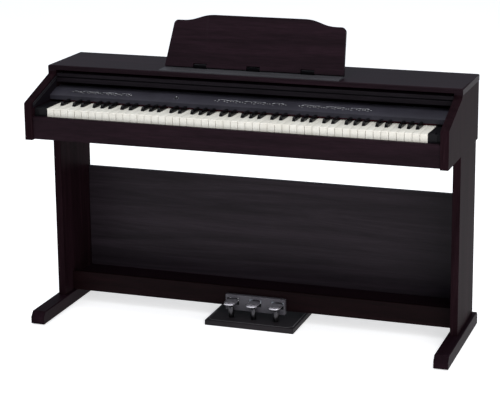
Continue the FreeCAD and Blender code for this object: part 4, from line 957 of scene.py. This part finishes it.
def make_ledge():
    """The rest's ledge with fine ribs along it, a rounded front and a low stop at its rear."""
    low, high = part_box("rest_ledge")
    height = high.z - low.z
    ribs = 9
    valley, crest = high.z - 0.9 * MM, high.z - 0.1 * MM
    profile = [(low.y, low.z), (low.y, low.z + height * 0.55), (low.y + 0.8 * MM, low.z + height * 0.85)]
    start, end = low.y + 3 * MM, high.y - 4 * MM
    pitch = (end - start) / ribs
    for index in range(ribs):
        y = start + index * pitch
        profile += [(y, valley), (y + pitch * 0.3, crest), (y + pitch * 0.62, crest),
                    (y + pitch * 0.9, valley)]
    profile += [(high.y - 3 * MM, high.z), (high.y - 0.6 * MM, high.z), (high.y, high.z - 0.7 * MM),
                (high.y, low.z)]
    shape = bmesh.new()
    ring_stack(shape, [[(x, y, z) for y, z in profile] for x in (low.x, high.x)])
    finish_piece("rest_ledge_ribbed", shape, LEDGE_GREY, "cabinet", "rest_ledge")


STRIP_FRONT, STRIP_BACK = 3.4 * MM, 3.95 * MM       # behind the rail's front
STRIP_LOW, STRIP_HIGH = 15.3 * MM, 18.7 * MM        # above the rail's foot


def make_groove_painted_shade():
    """Painted shade: a near-black strip at the bottom of the finger groove along the cover's front rail,
    where the groove is only shaded.
    """
    low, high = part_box("cover_front_rail")
    shape = bmesh.new()
    bar(shape, (low.x + 1 * MM, low.y + STRIP_FRONT, low.z + STRIP_LOW),
        (high.x - 1 * MM, low.y + STRIP_BACK, low.z + STRIP_HIGH), 0.1 * MM, 1)
    finish_piece("cover_groove_painted_shade", shape, DEEP_BLACK_AND_PAINTED_SHADE, "cover")


def cheek_faces():
    """The cheeks' inner faces: where each is along X, and which way it looks."""
    return (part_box("left_cheek")[1].x, 1), (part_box("right_cheek")[0].x, -1)


LINER_THICK = 0.45 * MM
LINER_GAP = 0.3 * MM
LINER_INSET = 9 * MM
LINER_FRONT_RISE = 14 * MM      # the top edge's front end, above the key blocks
LINER_RAIL_RISE = 24 * MM       # its highest point, above the rail's foot
LINER_PANEL_RISE = 30.2 * MM    # the step below that, above the panel's foot
LINER_BACK_RISE = 14.6 * MM     # its back end, above the panel's foot


def make_cheek_liners():
    """Thin black liners on the cheeks' inner faces, between the key blocks and the sloping edge."""
    panel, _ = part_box("control_panel")
    rail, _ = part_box("cover_front_rail")
    block_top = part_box("key_blocks")[1].z
    front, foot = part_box("left_cheek")[0].y + LINER_INSET, block_top + LINER_GAP
    outline = [(front, foot), (panel.y - LINER_GAP, foot), (panel.y - LINER_GAP, panel.z + LINER_BACK_RISE),
               (rail.y, panel.z + LINER_PANEL_RISE), (rail.y, rail.z + LINER_RAIL_RISE),
               (front, block_top + LINER_FRONT_RISE)]
    shape = bmesh.new()
    for face, out in cheek_faces():
        ring_stack(shape, [[(face + out * deep, y, z) for y, z in outline] for deep in (0.0, LINER_THICK)])
    finish_piece("cheek_liners", shape, LINER_BLACK, "cabinet")


TRACK_FRONT_INSET, TRACK_FRONT_Z = 12 * MM, 730 * MM
TRACK_BACK_REACH, TRACK_BACK_Z = 2 * MM, 785 * MM
TRACK_OFFSETS = (-3.2 * MM, 3.2 * MM)
# A track's cross section in millimetres: across the slope, and out from the cheek.
TRACK_SECTION = ((-0.7, 0.0), (0.7, 0.0), (0.7, 1.2), (0.28, 1.35), (-0.28, 1.35), (-0.7, 1.2))


def make_cheek_tracks():
    """Two raised lines on each cheek's inner face that follow the slope of the key cover."""
    start = Vector((0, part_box("left_cheek")[0].y + TRACK_FRONT_INSET, TRACK_FRONT_Z))
    end = Vector((0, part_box("cover_front_rail")[0].y + TRACK_BACK_REACH, TRACK_BACK_Z))
    along = (end - start).normalized()
    across = Vector((0, -along.z, along.y))
    shape = bmesh.new()
    for face, out in cheek_faces():
        for offset in TRACK_OFFSETS:
            rings = []
            for point in (start, end):
                ring = []
                for side, deep in TRACK_SECTION:
                    spot = point + across * (offset + side * MM)
                    ring.append((face + out * deep * MM, spot.y, spot.z))
                rings.append(ring)
            ring_stack(shape, rings)
    finish_piece("cover_guide_tracks", shape, BUTTON_GREY, "cabinet")


# ---------------------------------------------------------------- stage, light, camera

def make_stage():
    """A pale floor that runs far past the view."""
    shape = bmesh.new()
    bmesh.ops.create_grid(shape, x_segments=8, y_segments=8, size=45)
    mesh = bpy.data.meshes.new("floor")
    shape.to_mesh(mesh)
    shape.free()
    floor = bpy.data.objects.new("floor", mesh)
    bpy.context.scene.collection.objects.link(floor)
    made = Shader("pale_floor", Specular_IOR_Level=0.15, Emission_Color=(1, 1, 1, 1), Emission_Strength=0.62)
    made.colour(made.ramp(made.noise(0.8, detail=2), [(0.3, 0.86), (0.7, 0.885)]))
    made.roughness(made.noise(3), 0.75, 0.85)
    mesh.materials.append(made.material)


def area(name, place, aim, size, power, tint=(1, 1, 1)):
    """A soft rectangular light at a place, turned to a point."""
    lamp = bpy.data.lights.new(name, "AREA")
    lamp.shape = "RECTANGLE"
    lamp.size, lamp.size_y = size
    lamp.energy = power
    lamp.color = tint
    light = bpy.data.objects.new(name, lamp)
    bpy.context.scene.collection.objects.link(light)
    light.location = place
    light.rotation_euler = (Vector(aim) - Vector(place)).to_track_quat("-Z", "Y").to_euler()


def make_light():
    world = bpy.data.worlds.new("studio")
    bpy.context.scene.world = world
    world.use_nodes = True
    sky = world.node_tree.nodes["Background"]
    sky.inputs["Color"].default_value = (0.8, 0.88, 1.0, 1)
    sky.inputs["Strength"].default_value = 0.42
    area("overhead", (0.0, -0.6, 4.2), (0, 0, 0), (7.0, 6.0), 170)
    area("front_right", (3.2, -3.7, 2.1), (0.4, 0, 0.6), (2.8, 2.4), 95, (1.0, 0.97, 0.95))
    bpy.context.scene.view_settings.view_transform = "Standard"


CAMERA_PLACE = (1.653, -4.7314, 1.8013)
CAMERA_YAW = 18.42
CAMERA_PITCH = -12.84
CAMERA_ROLL = -0.35
CAMERA_LENS = 117.8
CAMERA_SHIFT = (-0.05, -0.15)


def make_camera():
    data = bpy.data.cameras.new("camera")
    camera = bpy.data.objects.new("camera", data)
    bpy.context.scene.collection.objects.link(camera)
    data.sensor_width = 36
    data.lens = CAMERA_LENS
    data.shift_x, data.shift_y = CAMERA_SHIFT
    data.clip_end = 200
    turn = Matrix.Rotation(math.radians(CAMERA_YAW), 4, "Z")
    tilt = Matrix.Rotation(math.radians(90 + CAMERA_PITCH), 4, "X")
    roll = Matrix.Rotation(math.radians(CAMERA_ROLL), 4, "Z")
    camera.matrix_world = Matrix.Translation(Vector(CAMERA_PLACE)) @ turn @ tilt @ roll
    bpy.context.scene.camera = camera


dress_boards()
make_keys()
make_felt()
make_buttons()
make_knob()
make_marks()
for pedal_body, pedal_node in PEDALS:
    make_pedal(pedal_body, pedal_node)
make_base_rim_highlight()
make_back_screws()
make_grilles()
make_bolts()
make_ledge()
make_groove_painted_shade()
make_cheek_liners()
make_cheek_tracks()
make_stage()
make_light()
make_camera()
